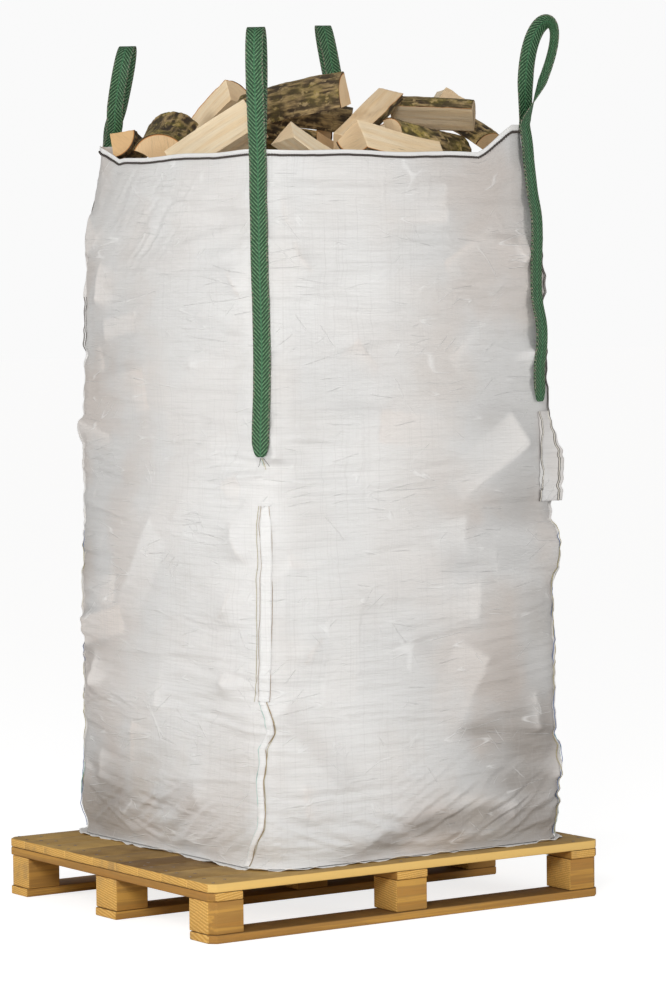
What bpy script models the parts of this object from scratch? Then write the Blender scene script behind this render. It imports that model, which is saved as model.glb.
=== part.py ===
"""Bulk bag of split firewood, standing on a nine-block wooden pallet.

Metres, +Z up. The origin is the middle of the pallet's underside: +X runs along the deck
boards and +Y across them. Run with: blender --background --python part.py
"""

import math
import random

import bmesh
import bpy
from mathutils import Matrix, Vector
from mathutils.bvhtree import BVHTree

GAP = 0.0003  # air between two pieces that touch

# pallet
PALLET_LENGTH = 1.200  # along X
PALLET_WIDTH = 1.000  # along Y
BOARD = 0.022  # thickness of every board
BLOCK_HEIGHT = 0.081
STRINGER_WIDTH = 0.095
BOTTOM_BOARD_WIDTH = 0.100
BLOCK_LENGTH = 0.094  # along X
BLOCK_WIDTH = 0.102  # along Y
BLOCK_INSET = 0.003  # blocks stand back from the boards' outer edges
CORNER_CUT = 0.018  # chamfer on the pallet's four upright corners
DECK_BOARD_WIDTHS = (0.109, 0.120, 0.109, 0.108, 0.112, 0.138, 0.109, 0.100, 0.087)

# bag
BAG_CENTRE = Vector((0.08, 0.04, 0.0))
FABRIC = 0.002  # woven cloth and its coating, drawn thick enough to be a solid
BAG_BOTTOM = 0.147 + GAP
BAG_HEIGHT = 1.776  # deck to rim, between the corners
# (share of height, half width of the square, radius of its rounded corners)
BAG_PROFILE = (
    (0.00, 0.476, 0.110),
    (0.04, 0.489, 0.115),
    (0.12, 0.484, 0.120),
    (0.30, 0.483, 0.120),
    (0.55, 0.478, 0.120),
    (0.80, 0.470, 0.120),
    (0.94, 0.462, 0.115),
    (1.00, 0.452, 0.095),
)
BULGE = 0.007  # how far packed logs push the cloth in and out
RIM_LIFT = (0.0, 0.066, 0.080, 0.036)  # front, right, back, left corner
RIM_LIFT_REACH = 0.105  # length of rim that a lifted corner takes up
RIM_TUCK = (0.0, 0.066, 0.040, 0.078)  # how far the corners lean in at the rim
RIM_TUCK_REACH = 0.13
RIM_TUCK_DEPTH = 0.12  # of the height, over which they do
# (share of height, quarter turns that the front seam runs off the corner)
FRONT_SEAM = ((0.0, -0.060), (0.10, -0.035), (0.30, -0.015), (0.70, -0.010), (1.0, -0.020))
PANELS = ("bag_panel_front", "bag_panel_right", "bag_panel_back", "bag_panel_left")
HEM_FLAP = 0.016  # bottom seam allowance that lies on the deck

# lifting loops, one sewn down each corner
WEBBING_WIDTH = 0.044
WEBBING = 0.0026  # thickness of one layer
LOOP_WIDTH = 0.092
LOOPS = (
    # name, corner, how far along the cloth it stands from it, height, turn of its plane,
    # lean (inwards, to its left seen from outside), tail
    ("lifting_loop_front", 0, 0.0, 0.299, 4.0, (0.0, 0.0), 0.755),
    ("lifting_loop_right", 1, -0.045, 0.300, 18.0, (-0.051, -0.033), 0.712),
    ("lifting_loop_back", 2, 0.0, 0.320, 6.0, (0.03, -0.08), 0.755),
    ("lifting_loop_left", 3, -0.080, 0.298, -39.0, (0.033, 0.040), 0.727),
)
PANEL_RUN = 0.89  # from one corner to the next along the cloth
CORNER_ROUND = 0.115  # radius that the straps bend round with

# firewood
FILL_CLEARANCE = 0.006  # between the hidden wood and the cloth
FILL_EDGE = 1.832  # top of the hidden wood beside the cloth
FILL_DOME = 0.016  # its rise to the middle
LOG_CLEARANCE = 0.0015
WEDGE_ANGLES = {"round": 360, "half": 180, "third": 120, "quarter": 90, "sixth": 64}
BARK_STEP = 20.0  # degrees of bark to one flat
# the logs that show and those under them, in the order they are laid:
# x, y, height of the middle, heading, tilt, roll (degrees), length, section, radius
RIM_LOGS = (
    (0.082, -0.340, 1.922, 1, -6, 196, 0.270, "quarter", 0.088),
    (-0.157, -0.315, 1.914, -8, -30, 170, 0.176, "quarter", 0.085),
    (0.258, -0.240, 1.955, 12, -9, 62, 0.265, "half", 0.054),
    (-0.225, 0.255, 1.880, 40, 0, 135, 0.230, "quarter", 0.080),
    (-0.284, 0.354, 1.958, 47, -10, 130, 0.180, "quarter", 0.068),
    (-0.250, 0.214, 1.985, 45, 22, -8, 0.185, "third", 0.080),
    (-0.245, 0.007, 1.937, -36, 33, 118, 0.240, "third", 0.080),
    (0.453, -0.170, 1.998, -87, -22, 10, 0.190, "third", 0.058),
    (0.010, -0.110, 1.895, 35, 0, 135, 0.220, "quarter", 0.090),
    (0.310, -0.030, 1.925, -42, 0, 135, 0.230, "quarter", 0.094),
    (-0.080, 0.270, 1.905, 90, 15, 135, 0.230, "quarter", 0.098),
    (-0.072, 0.230, 2.060, -90, 30, 130, 0.200, "quarter", 0.064),
)
CROWN_LOGS = (
    (0.108, -0.200, 2.003, 20, 31, 150, 0.260, "quarter", 0.070),
    (0.322, -0.180, 2.044, -40, -5, -38, 0.215, "half", 0.053),
    (-0.045, -0.055, 2.060, -55, 9, 58, 0.285, "quarter", 0.086),
    (0.484, 0.000, 2.073, 62, 4, 180, 0.200, "quarter", 0.072),
)
TRIES = 220  # nearly equal ways to lay each of them; the nearest one that is clear is kept
SHIFT = 0.025
SWAY = Vector((7.0, 6.0, 18.0))  # of heading, tilt and roll
LET_DOWN_STEP = 0.016
DROP = 0.07  # they are let down from this far above their height
NEARNESS = 0.010  # what the most different way costs against one at the right height
# the others, tipped in anyhow: each goes where it lies lowest
OTHER_LOGS = 5
OTHER_TRIES = 160
OTHER_START = 2.20
OTHER_RANGE = ((-0.08, 0.42), (0.03, 0.39))  # x and y of where they are tipped in
OTHER_RADIUS = {"half": 0.060, "third": 0.082, "quarter": 0.098, "sixth": 0.112}


def clear_scene():
    for old in list(bpy.data.objects):
        bpy.data.objects.remove(old, do_unlink=True)


def material(name, colour, roughness):
    made = bpy.data.materials.new(name)
    made.use_nodes = True
    shader = made.node_tree.nodes["Principled BSDF"]
    shader.inputs["Base Color"].default_value = (*colour, 1.0)
    shader.inputs["Roughness"].default_value = roughness
    shader.inputs["Metallic"].default_value = 0.0
    return made


def add_object(name, verts, faces, finish, parent, smooth=False):
    """One named sub-part from its corner points and faces."""
    mesh = bpy.data.meshes.new(name)
    mesh.from_pydata([tuple(v) for v in verts], [], faces)
    work = bmesh.new()
    work.from_mesh(mesh)
    bmesh.ops.recalc_face_normals(work, faces=work.faces)
    work.to_mesh(mesh)
    work.free()
    if smooth:
        mesh.shade_smooth()
        mesh.set_sharp_from_angle(angle=math.radians(40))
    mesh.materials.append(finish)
    made = bpy.data.objects.new(name, mesh)
    bpy.context.scene.collection.objects.link(made)
    made.parent = parent
    return made


# ---- pallet ----


def slab(name, low, high, cuts, finish, parent):
    """A board or block between two corners; cuts lists the (x, y) signs of its chamfered corners."""
    sides = ((-1, -1), (1, -1), (1, 1), (-1, 1))
    outline = []
    for index, (sx, sy) in enumerate(sides):
        corner = Vector((low[0] if sx < 0 else high[0], low[1] if sy < 0 else high[1]))
        if (sx, sy) not in cuts:
            outline.append(corner)
            continue
        along_x = corner - Vector((sx * CORNER_CUT, 0))
        along_y = corner - Vector((0, sy * CORNER_CUT))
        outline += (along_y, along_x) if index % 2 == 0 else (along_x, along_y)
    count = len(outline)
    verts = [(p.x, p.y, low[2]) for p in outline] + [(p.x, p.y, high[2]) for p in outline]
    faces = [list(range(count)), list(range(count, 2 * count))]
    faces += [(i, (i + 1) % count, (i + 1) % count + count, i + count) for i in range(count)]
    return add_object(name, verts, faces, finish, parent)


def corner_signs(low, high):
    """The signs of this slab's corners that stand on the pallet's own corners."""
    reach_x, reach_y = PALLET_LENGTH / 2 - 0.01, PALLET_WIDTH / 2 - 0.01
    return [
        (sx, sy)
        for sx in (-1, 1)
        for sy in (-1, 1)
        if sx * (low[0] if sx < 0 else high[0]) > reach_x
        and sy * (low[1] if sy < 0 else high[1]) > reach_y
    ]


def pallet_slab(name, low, high, finish, parent):
    return slab(name, low, high, corner_signs(low, high), finish, parent)


def build_pallet(finish, parent):
    half_x, half_y = PALLET_LENGTH / 2, PALLET_WIDTH / 2
    bottom_top = BOARD
    block_top = bottom_top + BLOCK_HEIGHT
    stringer_top = block_top + BOARD
    deck_top = stringer_top + BOARD

    middle_y = half_y - BOTTOM_BOARD_WIDTH / 2
    for index, y in enumerate((-middle_y, 0.0, middle_y)):
        low = (-half_x, y - BOTTOM_BOARD_WIDTH / 2, 0.0)
        high = (half_x, y + BOTTOM_BOARD_WIDTH / 2, bottom_top - GAP)
        pallet_slab(f"bottom_board_{index + 1}", low, high, finish, parent)

    block_x = half_x - BLOCK_INSET - BLOCK_LENGTH / 2
    block_y = half_y - BLOCK_INSET - BLOCK_WIDTH / 2
    for row, y in enumerate((-block_y, 0.0, block_y)):
        for column, x in enumerate((-block_x, 0.0, block_x)):
            low = (x - BLOCK_LENGTH / 2, y - BLOCK_WIDTH / 2, bottom_top)
            high = (x + BLOCK_LENGTH / 2, y + BLOCK_WIDTH / 2, block_top - GAP)
            pallet_slab(f"block_{row + 1}_{column + 1}", low, high, finish, parent)

    stringer_x = half_x - STRINGER_WIDTH / 2
    for index, x in enumerate((-stringer_x, 0.0, stringer_x)):
        low = (x - STRINGER_WIDTH / 2, -half_y, block_top)
        high = (x + STRINGER_WIDTH / 2, half_y, stringer_top - GAP)
        pallet_slab(f"stringer_{index + 1}", low, high, finish, parent)

    space = (PALLET_WIDTH - sum(DECK_BOARD_WIDTHS)) / (len(DECK_BOARD_WIDTHS) - 1)
    y = -half_y
    for index, width in enumerate(DECK_BOARD_WIDTHS):
        low, high = (-half_x, y, stringer_top), (half_x, y + width, deck_top)
        pallet_slab(f"deck_board_{index + 1}", low, high, finish, parent)
        y += width + space


# ---- bag ----


def outline_point(turn, half, radius):
    """Point and outward normal on a rounded square: turn counts quarter turns from the front corner."""
    side = int(math.floor(turn)) % 4
    flat, arc = 2 * (half - radius), math.pi * radius / 4
    run = (turn - math.floor(turn)) * (flat + 2 * arc)
    if run < arc:
        angle = -135 + math.degrees(run / radius)
        centre = Vector((-(half - radius), -(half - radius)))
    elif run > arc + flat:
        angle = -90 + math.degrees((run - arc - flat) / radius)
        centre = Vector((half - radius, -(half - radius)))
    else:
        angle = -90
        centre = Vector((run - arc - (half - radius), -(half - radius)))
    normal = Vector((math.cos(math.radians(angle)), math.sin(math.radians(angle))))
    quarter = Matrix.Rotation(math.radians(90 * side), 2)
    return quarter @ (centre + normal * radius), quarter @ normal


def bulges(seed):
    """Waves round the bag whose sum stands for the logs that push on the cloth."""
    draw = random.Random(seed)
    return [
        (draw.randint(5, 13), draw.uniform(4, 16), draw.uniform(0, 2 * math.pi))
        for _ in range(9)
    ]


BULGE_WAVES = bulges(4)


def bulge_at(turn, share):
    fade = min(1.0, share / 0.06) * min(1.0, (1.0 - share) / 0.08)
    total = sum(
        math.cos(turn * math.pi / 2 * count + share * rise + phase)
        for count, rise, phase in BULGE_WAVES
    )
    return BULGE * fade * total / 2.2


def between(table, share):
    """The values of a table whose rows start with their share, eased from row to row."""
    share = min(max(share, table[0][0]), table[-1][0])
    for row, after in zip(table, table[1:]):
        if share <= after[0]:
            t = (share - row[0]) / (after[0] - row[0])
            t = t * t * (3 - 2 * t)
            return [p + (q - p) * t for p, q in zip(row[1:], after[1:])]


def rim_rise(turn):
    """How far the rim is pulled up beside a lifted corner."""
    rise = 0.0
    for corner, lift in enumerate(RIM_LIFT):
        away = abs((turn - corner + 2) % 4 - 2) * 2 * BAG_PROFILE[-1][1]
        rise = max(rise, lift * max(0.0, 1.0 - away / RIM_LIFT_REACH))
    return rise


def corner_tuck(turn, share):
    """How far the cloth leans in beside a corner that its loop has drawn in."""
    fall = max(0.0, (share - 1 + RIM_TUCK_DEPTH) / RIM_TUCK_DEPTH) ** 1.5
    tuck = 0.0
    for corner, depth in enumerate(RIM_TUCK):
        away = abs((turn - corner + 2) % 4 - 2) * 2 * BAG_PROFILE[-1][1]
        tuck = max(tuck, depth * max(0.0, 1.0 - away / RIM_TUCK_REACH) ** 1.3)
    return tuck * fall


def bag_point(turn, share, offset):
    """A point on the bag: quarter turns round it, share of its height, distance out from its outer face."""
    half, radius = between(BAG_PROFILE, share)
    place, normal = outline_point(turn, half, radius)
    out = offset + bulge_at(turn, share) - corner_tuck(turn, share)
    place = place + normal * out
    height = BAG_BOTTOM + FABRIC + GAP + share * BAG_HEIGHT
    height += rim_rise(turn) * max(0.0, (share - 0.90) / 0.10)
    return Vector((place.x, place.y, height)) + BAG_CENTRE


PANEL_COLUMNS = (
    [i * 0.034 for i in range(4)]
    + [0.102 + 0.796 * i / 8 for i in range(1, 8)]
    + [0.898 + i * 0.034 for i in range(4)]
)
PANEL_ROWS = [0, 0.02, 0.045, 0.09] + [0.15 + 0.0625 * i for i in range(13)] + [0.94, 0.975, 1.0]


def shell(outer, inner):
    """Points and faces of a thin closed sheet from the grids of its two faces, [row][column]."""
    tall, wide = len(outer), len(outer[0])
    verts = [p for row in outer for p in row] + [p for row in inner for p in row]
    step = tall * wide

    def corner(i, j):
        return i * wide + j

    faces = []
    for i in range(tall - 1):
        for j in range(wide - 1):
            ring = [corner(i, j), corner(i, j + 1), corner(i + 1, j + 1), corner(i + 1, j)]
            for half in (ring[:3], ring[2:] + ring[:1]):  # one diagonal on both faces
                faces += [half, [v + step for v in reversed(half)]]
    border = [corner(0, j) for j in range(wide)]
    border += [corner(i, wide - 1) for i in range(1, tall)]
    border += [corner(tall - 1, j) for j in range(wide - 2, -1, -1)]
    border += [corner(i, 0) for i in range(tall - 2, 0, -1)]
    for a, b in zip(border, border[1:] + border[:1]):
        faces.append([b, a, a + step, b + step])
    return verts, faces


def build_panels(finish, parent):
    seam_gap = GAP / 2 / (2 * BAG_PROFILE[-1][1])  # half the gap at a seam, in quarter turns
    for side, name in enumerate(PANELS):
        grids = []
        for offset in (0.0, -FABRIC):
            grid = []
            for share in PANEL_ROWS:
                drift = between(FRONT_SEAM, share)[0]
                start = side + seam_gap + (drift if side == 0 else 0)
                end = side + 1 - seam_gap + (drift if side == 3 else 0)
                grid.append(
                    [bag_point(start + (end - start) * s, share, offset) for s in PANEL_COLUMNS]
                )
            grids.append(grid)
        add_object(name, *shell(*grids), finish, parent, smooth=True)


def build_base(finish, parent):
    """The bag's bottom cloth, whose seam allowance lies on the deck round the bag."""
    half, radius = between(BAG_PROFILE, 0.0)
    steps = 48
    ring = [outline_point(4 * i / steps, half + HEM_FLAP, radius + HEM_FLAP)[0] for i in range(steps)]
    levels = (BAG_BOTTOM, BAG_BOTTOM + FABRIC)
    verts = [(p.x + BAG_CENTRE.x, p.y + BAG_CENTRE.y, z) for z in levels for p in ring]
    faces = [list(range(steps)), list(range(steps, 2 * steps))]
    faces += [(i, (i + 1) % steps, (i + 1) % steps + steps, i + steps) for i in range(steps)]
    add_object("bag_base", verts, faces, finish, parent)


# ---- lifting loops ----


def teardrop(turn):
    """(sideways, up) shares of the loop's middle line, from its foot round to its foot again."""
    return 1.30 * math.sin(turn) * math.sin(turn / 2) ** 1.5, (1 - math.cos(turn)) / 2


def loop_outline(rim, tail, height, corner_x):
    """Points and faces, in the loop's plane, of the doubled tail and the open loop above it.

    The plane's x runs out from the bag. corner_x(z) is the corner's outer face.
    """
    verts, faces = [], []
    tail_steps, ring_steps = 11, 22
    clear = 0.0022
    for i in range(tail_steps + 1):
        z = rim - tail + (tail - 0.004) * i / tail_steps
        x = corner_x(z) + clear
        verts += [(x, z), (x + 2 * WEBBING, z)]
    for i in range(tail_steps):
        a = 2 * i
        faces.append([a, a + 1, a + 3, a + 2])
    foot_in, foot_out = 2 * tail_steps, 2 * tail_steps + 1
    foot_x = corner_x(rim - 0.004) + clear + WEBBING
    eye, outside = [], []
    for i in range(1, ring_steps):
        turn = 2 * math.pi * i / ring_steps
        side, up = teardrop(turn)
        near, far = teardrop(turn - 0.02), teardrop(turn + 0.02)
        middle = Vector((foot_x + side * LOOP_WIDTH / 2, rim + up * (height - WEBBING / 2)))
        run = Vector(((far[0] - near[0]) * LOOP_WIDTH / 2, (far[1] - near[1]) * height))
        away = Vector((run.y, -run.x)).normalized() * WEBBING / 2
        eye.append(middle - away)
        outside.append(middle + away)
    cusp = len(verts)
    verts.append((foot_x, rim + 0.022))
    first = len(verts)
    for inner, outer in zip(eye, outside):
        verts += [tuple(inner), tuple(outer)]
    last = len(verts) - 2
    faces.append([foot_in, foot_out, cusp])
    faces.append([foot_out, first + 1, first, cusp])
    for a in range(first, last, 2):
        faces.append([a, a + 1, a + 3, a + 2])
    faces.append([last, last + 1, foot_in, cusp])
    return verts, faces


def build_loop(name, corner, away, height, twist, lean, tail, finish, parent):
    def seam_point(share_of_height, aside=0.0):
        drift = between(FRONT_SEAM, share_of_height)[0] if corner == 0 else 0.0
        return bag_point(corner + drift + away / PANEL_RUN + aside, share_of_height, 0.0)

    foot = seam_point(1.0)
    angle = -135 + 90 * corner + math.degrees(away / CORNER_ROUND)
    out = Vector((math.cos(math.radians(angle)), math.sin(math.radians(angle))))
    along = Vector((-out.y, out.x))

    def corner_x(z):
        share_of_height = (z - BAG_BOTTOM) / (foot.z - BAG_BOTTOM)
        spots = [seam_point(share_of_height, d) for d in (-0.026, -0.013, 0.0, 0.013, 0.026)]
        return max((Vector((p.x, p.y)) - BAG_CENTRE.xy).dot(out) for p in spots)

    plane, faces = loop_outline(foot.z, tail, height, corner_x)
    work = bmesh.new()
    half = WEBBING_WIDTH / 2
    flat = [work.verts.new((x, -half, z)) for x, z in plane]
    for face in faces:
        work.faces.new([flat[i] for i in face])
    grown = bmesh.ops.extrude_face_region(work, geom=list(work.faces), use_keep_orig=True)
    moved = [v for v in grown["geom"] if isinstance(v, bmesh.types.BMVert)]
    bmesh.ops.translate(work, verts=moved, vec=(0, WEBBING_WIDTH, 0))
    bmesh.ops.recalc_face_normals(work, faces=work.faces)
    foot_x = corner_x(foot.z - 0.004) + WEBBING
    for vert in work.verts:  # turn and lean the free loop about its foot, then follow the seam
        up = max(0.0, vert.co.z - foot.z)
        ease = min(1.0, up / 0.11)
        angle = math.radians(twist) * ease * ease * (3 - 2 * ease)
        turned_to = Matrix.Rotation(angle, 2) @ Vector((vert.co.x - foot_x, vert.co.y))
        seam = seam_point(min(1.0, (vert.co.z - BAG_BOTTOM) / (foot.z - BAG_BOTTOM)))
        vert.co.x = turned_to.x + foot_x - lean[0] * up / height
        vert.co.y = turned_to.y - lean[1] * up / height
        vert.co.y += (Vector((seam.x, seam.y)) - BAG_CENTRE.xy).dot(along)
    mesh = bpy.data.meshes.new(name)
    work.to_mesh(mesh)
    work.free()
    mesh.shade_smooth()
    mesh.set_sharp_from_angle(angle=math.radians(35))
    mesh.materials.append(finish)
    made = bpy.data.objects.new(name, mesh)
    bpy.context.scene.collection.objects.link(made)
    made.location = BAG_CENTRE
    made.rotation_euler.z = math.atan2(out.y, out.x)
    made.parent = parent
    return made


# ---- firewood ----


def build_fill(finish, parent):
    """The packed logs below the top ones, as one solid that the cloth wraps."""
    draw = random.Random(11)
    steps = 4 * (len(PANEL_COLUMNS) - 1)
    turns = [side + s for side in range(4) for s in PANEL_COLUMNS[:-1]]
    top_share = (FILL_EDGE - BAG_BOTTOM - FABRIC) / BAG_HEIGHT
    shares = [s for s in PANEL_ROWS if s < top_share - 0.02]
    rings = []
    for share in shares + [top_share]:
        ring = [bag_point(t, share, -FABRIC - FILL_CLEARANCE) for t in turns]
        if share == 0:
            for p in ring:
                p.z += FILL_CLEARANCE
        if share == top_share:
            for p in ring:
                p.z = FILL_EDGE
        rings.append(ring)
    middle = Vector((BAG_CENTRE.x, BAG_CENTRE.y, FILL_EDGE))
    for inward in (0.82, 0.6, 0.38, 0.17):
        ring = []
        for p in rings[len(shares)]:
            rise = FILL_DOME * (1 - inward**2) + draw.uniform(-0.004, 0.004)
            ring.append(middle + (p - middle) * inward + Vector((0, 0, rise)))
        rings.append(ring)
    verts = [p for ring in rings for p in ring]
    faces = [list(range(steps))]
    for level in range(len(rings) - 1):
        a, b = level * steps, (level + 1) * steps
        faces += [(a + i, a + (i + 1) % steps, b + (i + 1) % steps, b + i) for i in range(steps)]
    faces.append(list(range((len(rings) - 1) * steps, len(rings) * steps)))
    return add_object("firewood_fill", verts, faces, finish, parent)


def log_section(kind, radius):
    """Outline of a split log's end, bark side up, about its own middle."""
    span = WEDGE_ANGLES[kind]
    steps = max(3, round(span / BARK_STEP))
    last = steps if span < 360 else steps - 1
    arc = [math.radians(90 - span / 2 + span * i / steps) for i in range(last + 1)]
    points = [Vector((radius * math.cos(a), radius * math.sin(a))) for a in arc]
    if span < 180:
        points.append(Vector((0.0, 0.0)))
    area, middle = 0.0, Vector((0.0, 0.0))
    for p, q in zip(points, points[1:] + points[:1]):
        cross = p.x * q.y - q.x * p.y
        area += cross / 2
        middle += (p + q) * cross / 6
    middle /= area
    return [p - middle for p in points]


def log_mesh(kind, radius, length, grow=0.0):
    outline = log_section(kind, radius)
    outline = [p + p.normalized() * grow * 1.6 for p in outline]
    count, half = len(outline), length / 2 + grow
    verts = [Vector((x, p.x, p.y)) for x in (-half, half) for p in outline]
    faces = [list(range(count)), list(range(count, 2 * count))]
    faces += [(i, (i + 1) % count, (i + 1) % count + count, i + count) for i in range(count)]
    return verts, faces


def turned(heading, tilt, roll):
    """A log lies along its own X; tilt raises its far end, roll turns it about its length."""
    turns = zip((heading, -tilt, roll), "ZYX")
    result = Matrix.Identity(3)
    for angle, axis in turns:
        result = result @ Matrix.Rotation(math.radians(angle), 3, axis)
    return result


class Pile:
    """The wood laid so far and what holds it, as one surface to lay the next log on."""

    def __init__(self, held):
        self.points, self.faces = [], []
        for obj in held:
            places = [obj.matrix_world @ v.co for v in obj.data.vertices]
            self.add(places, [tuple(p.vertices) for p in obj.data.polygons])

    def add(self, points, faces):
        first = len(self.points)
        self.points += points
        self.faces += [tuple(v + first for v in face) for face in faces]
        self.tree = BVHTree.FromPolygons(self.points, self.faces)

    def resting_height(self, points, faces, x, y, start):
        """Where the log stops when it is let down from the start; None if that is not clear."""

        def clear(z):
            moved = [p + Vector((x, y, z)) for p in points]
            return not BVHTree.FromPolygons(moved, faces).overlap(self.tree)

        if not clear(start):
            return None
        z, step = start, LET_DOWN_STEP
        while clear(z - step):
            z -= step
        while step > GAP:
            step /= 2
            if clear(z - step):
                z -= step
        return z


def lay_log(pile, ways, section, length, start, misfit):
    """Tries each (x, y, heading, tilt, roll); gives the place and turn with the least misfit."""
    best = None
    points, faces = log_mesh(*section, length, LOG_CLEARANCE)
    for number, (x, y, *angles) in enumerate(ways):
        turn = turned(*angles)
        z = pile.resting_height([turn @ p for p in points], faces, x, y, start)
        if z is not None and (best is None or misfit(z, number) < best[0]):
            best = (misfit(z, number), Vector((x, y, z)), turn)
    return best[1:]


def nearby_ways(draw, x, y, angles):
    """The asked way to lay a log, then ways that differ from it more and more."""
    for number in range(TRIES):
        reach = number / TRIES
        shift = [draw.uniform(-SHIFT, SHIFT) * reach for _ in range(2)]
        yield (
            x + shift[0],
            y + shift[1],
            *(a + draw.uniform(-s, s) * reach for a, s in zip(angles, SWAY)),
        )


def tipped_ways(draw):
    for _ in range(OTHER_TRIES):
        yield (
            draw.uniform(*OTHER_RANGE[0]),
            draw.uniform(*OTHER_RANGE[1]),
            draw.uniform(0, 360),
            draw.uniform(-14, 14),
            draw.uniform(0, 360),
        )


def build_top_logs(finish, parent, held):
    draw = random.Random(7)
    pile = Pile(held)
    others = []
    for _ in range(OTHER_LOGS):
        kind = draw.choice(("half", "third", "quarter", "quarter", "sixth"))
        others.append((None,) * 6 + (draw.uniform(0.24, 0.28), kind, OTHER_RADIUS[kind]))
    for index, log in enumerate((*RIM_LOGS, *CROWN_LOGS, *others)):
        x, y, height, heading, tilt, roll, length, *section = log
        if x is None:
            ways = tipped_ways(draw)
            place, turn = lay_log(pile, ways, section, length, OTHER_START, lambda z, number: z)
        else:
            ways = nearby_ways(draw, x, y, (heading, tilt, roll))
            place, turn = lay_log(
                pile, ways, section, length, height + DROP,
                lambda z, number: abs(z - height) + NEARNESS * number / TRIES,
            )
        points, faces = log_mesh(*section, length)
        made = add_object(f"log_{index + 1:02d}", points, faces, finish, parent)
        made.location = place
        made.rotation_euler = turn.to_euler()
        pile.add([turn @ p + place for p in points], faces)


def main():
    clear_scene()
    root = bpy.data.objects.new("bulk_bag", None)
    bpy.context.scene.collection.objects.link(root)

    pine = material("pallet_pine", (0.52, 0.30, 0.10), 0.75)
    cloth = material("woven_polypropylene", (0.80, 0.79, 0.76), 0.55)
    webbing = material("green_webbing", (0.03, 0.19, 0.09), 0.60)
    split_wood = material("split_wood", (0.72, 0.50, 0.28), 0.80)

    build_pallet(pine, root)
    build_base(cloth, root)
    build_panels(cloth, root)
    for loop in LOOPS:
        build_loop(*loop, webbing, root)
    build_fill(split_wood, root)
    bpy.context.view_layer.update()
    holders = ("bag_panel", "lifting_loop", "firewood_fill")
    held = [obj for obj in bpy.data.objects if obj.name.startswith(holders)]
    build_top_logs(split_wood, root, held)


main()
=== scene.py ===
import math
import random

import bmesh
import bpy
import numpy as np
from mathutils import Matrix, Vector
from mathutils.bvhtree import BVHTree


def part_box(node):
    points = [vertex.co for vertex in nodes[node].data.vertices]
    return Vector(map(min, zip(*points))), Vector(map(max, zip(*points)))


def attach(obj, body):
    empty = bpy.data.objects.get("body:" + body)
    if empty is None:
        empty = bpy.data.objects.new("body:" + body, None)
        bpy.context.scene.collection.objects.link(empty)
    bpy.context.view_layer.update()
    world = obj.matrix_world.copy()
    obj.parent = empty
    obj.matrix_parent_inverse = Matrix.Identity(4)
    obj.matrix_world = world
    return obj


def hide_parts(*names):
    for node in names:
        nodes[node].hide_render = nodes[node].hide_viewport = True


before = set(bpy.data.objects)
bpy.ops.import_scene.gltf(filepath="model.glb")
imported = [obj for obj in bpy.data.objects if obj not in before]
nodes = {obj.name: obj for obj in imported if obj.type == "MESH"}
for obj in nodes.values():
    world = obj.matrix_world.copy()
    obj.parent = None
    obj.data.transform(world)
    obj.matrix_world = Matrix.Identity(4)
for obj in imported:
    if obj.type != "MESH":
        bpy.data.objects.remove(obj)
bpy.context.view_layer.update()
bpy.context.scene.view_settings.view_transform = "Standard"


def only(piece):
    bpy.ops.object.select_all(action="DESELECT")
    piece.select_set(True)
    bpy.context.view_layer.objects.active = piece


def newPiece(name, mesh, finish):
    mesh.materials.append(finish)
    piece = bpy.data.objects.new(name, mesh)
    bpy.context.scene.collection.objects.link(piece)
    return piece


def gridPiece(name, grid, finish, closedAcross=False):
    # grid is [row][column][xyz]; its faces point to the right of a row that runs upwards
    tall, wide = grid.shape[:2]
    index = np.arange(tall * wide).reshape(tall, wide)
    right = np.roll(index, -1, axis=1) if closedAcross else index[:, 1:]
    left = index if closedAcross else index[:, :-1]
    faces = np.stack([left[:-1], right[:-1], right[1:], left[1:]], axis=-1).reshape(-1, 4)
    mesh = bpy.data.meshes.new(name)
    mesh.vertices.add(tall * wide)
    mesh.vertices.foreach_set("co", grid.reshape(-1).astype(np.float32))
    mesh.loops.add(faces.size)
    mesh.loops.foreach_set("vertex_index", faces.reshape(-1).astype(np.int32))
    mesh.polygons.add(len(faces))
    mesh.polygons.foreach_set("loop_start", np.arange(0, faces.size, 4, dtype=np.int32))
    mesh.update(calc_edges=True)
    mesh.shade_smooth()
    return newPiece(name, mesh, finish)


def paintPoints(piece, name, values):
    # a number for each point of the mesh, or one for all, which materials read by this name
    layer = piece.data.attributes.new(name, "FLOAT", "POINT")
    values = np.resize(np.asarray(values, np.float32), len(piece.data.vertices))
    layer.data.foreach_set("value", values)


def mapPoints(piece, u, v):
    # a UV map from u and v at each point
    layer = piece.data.uv_layers.new(name="UVMap")
    corner = np.empty(len(piece.data.loops), np.int32)
    piece.data.loops.foreach_get("vertex_index", corner)
    uv = np.stack(np.broadcast_arrays(u, v), axis=-1).astype(np.float32).reshape(-1, 2)
    layer.data.foreach_set("uv", uv[corner].reshape(-1))


def applyAll(piece):
    only(piece)
    for modifier in list(piece.modifiers):
        bpy.ops.object.modifier_apply(modifier=modifier.name)


def mergeDoubles(piece, distance):
    only(piece)
    bpy.ops.object.mode_set(mode="EDIT")
    bpy.ops.mesh.select_all(action="SELECT")
    bpy.ops.mesh.remove_doubles(threshold=distance)
    bpy.ops.mesh.normals_make_consistent(inside=False)
    bpy.ops.object.mode_set(mode="OBJECT")


def closeEnds(piece, count):
    # a face over each end of a strip that is count points round
    work = bmesh.new()
    work.from_mesh(piece.data)
    work.verts.ensure_lookup_table()
    last = len(work.verts) - count
    work.faces.new([work.verts[i] for i in range(count)][::-1])
    work.faces.new([work.verts[last + i] for i in range(count)])
    bmesh.ops.recalc_face_normals(work, faces=work.faces)
    work.to_mesh(piece.data)
    work.free()


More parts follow.
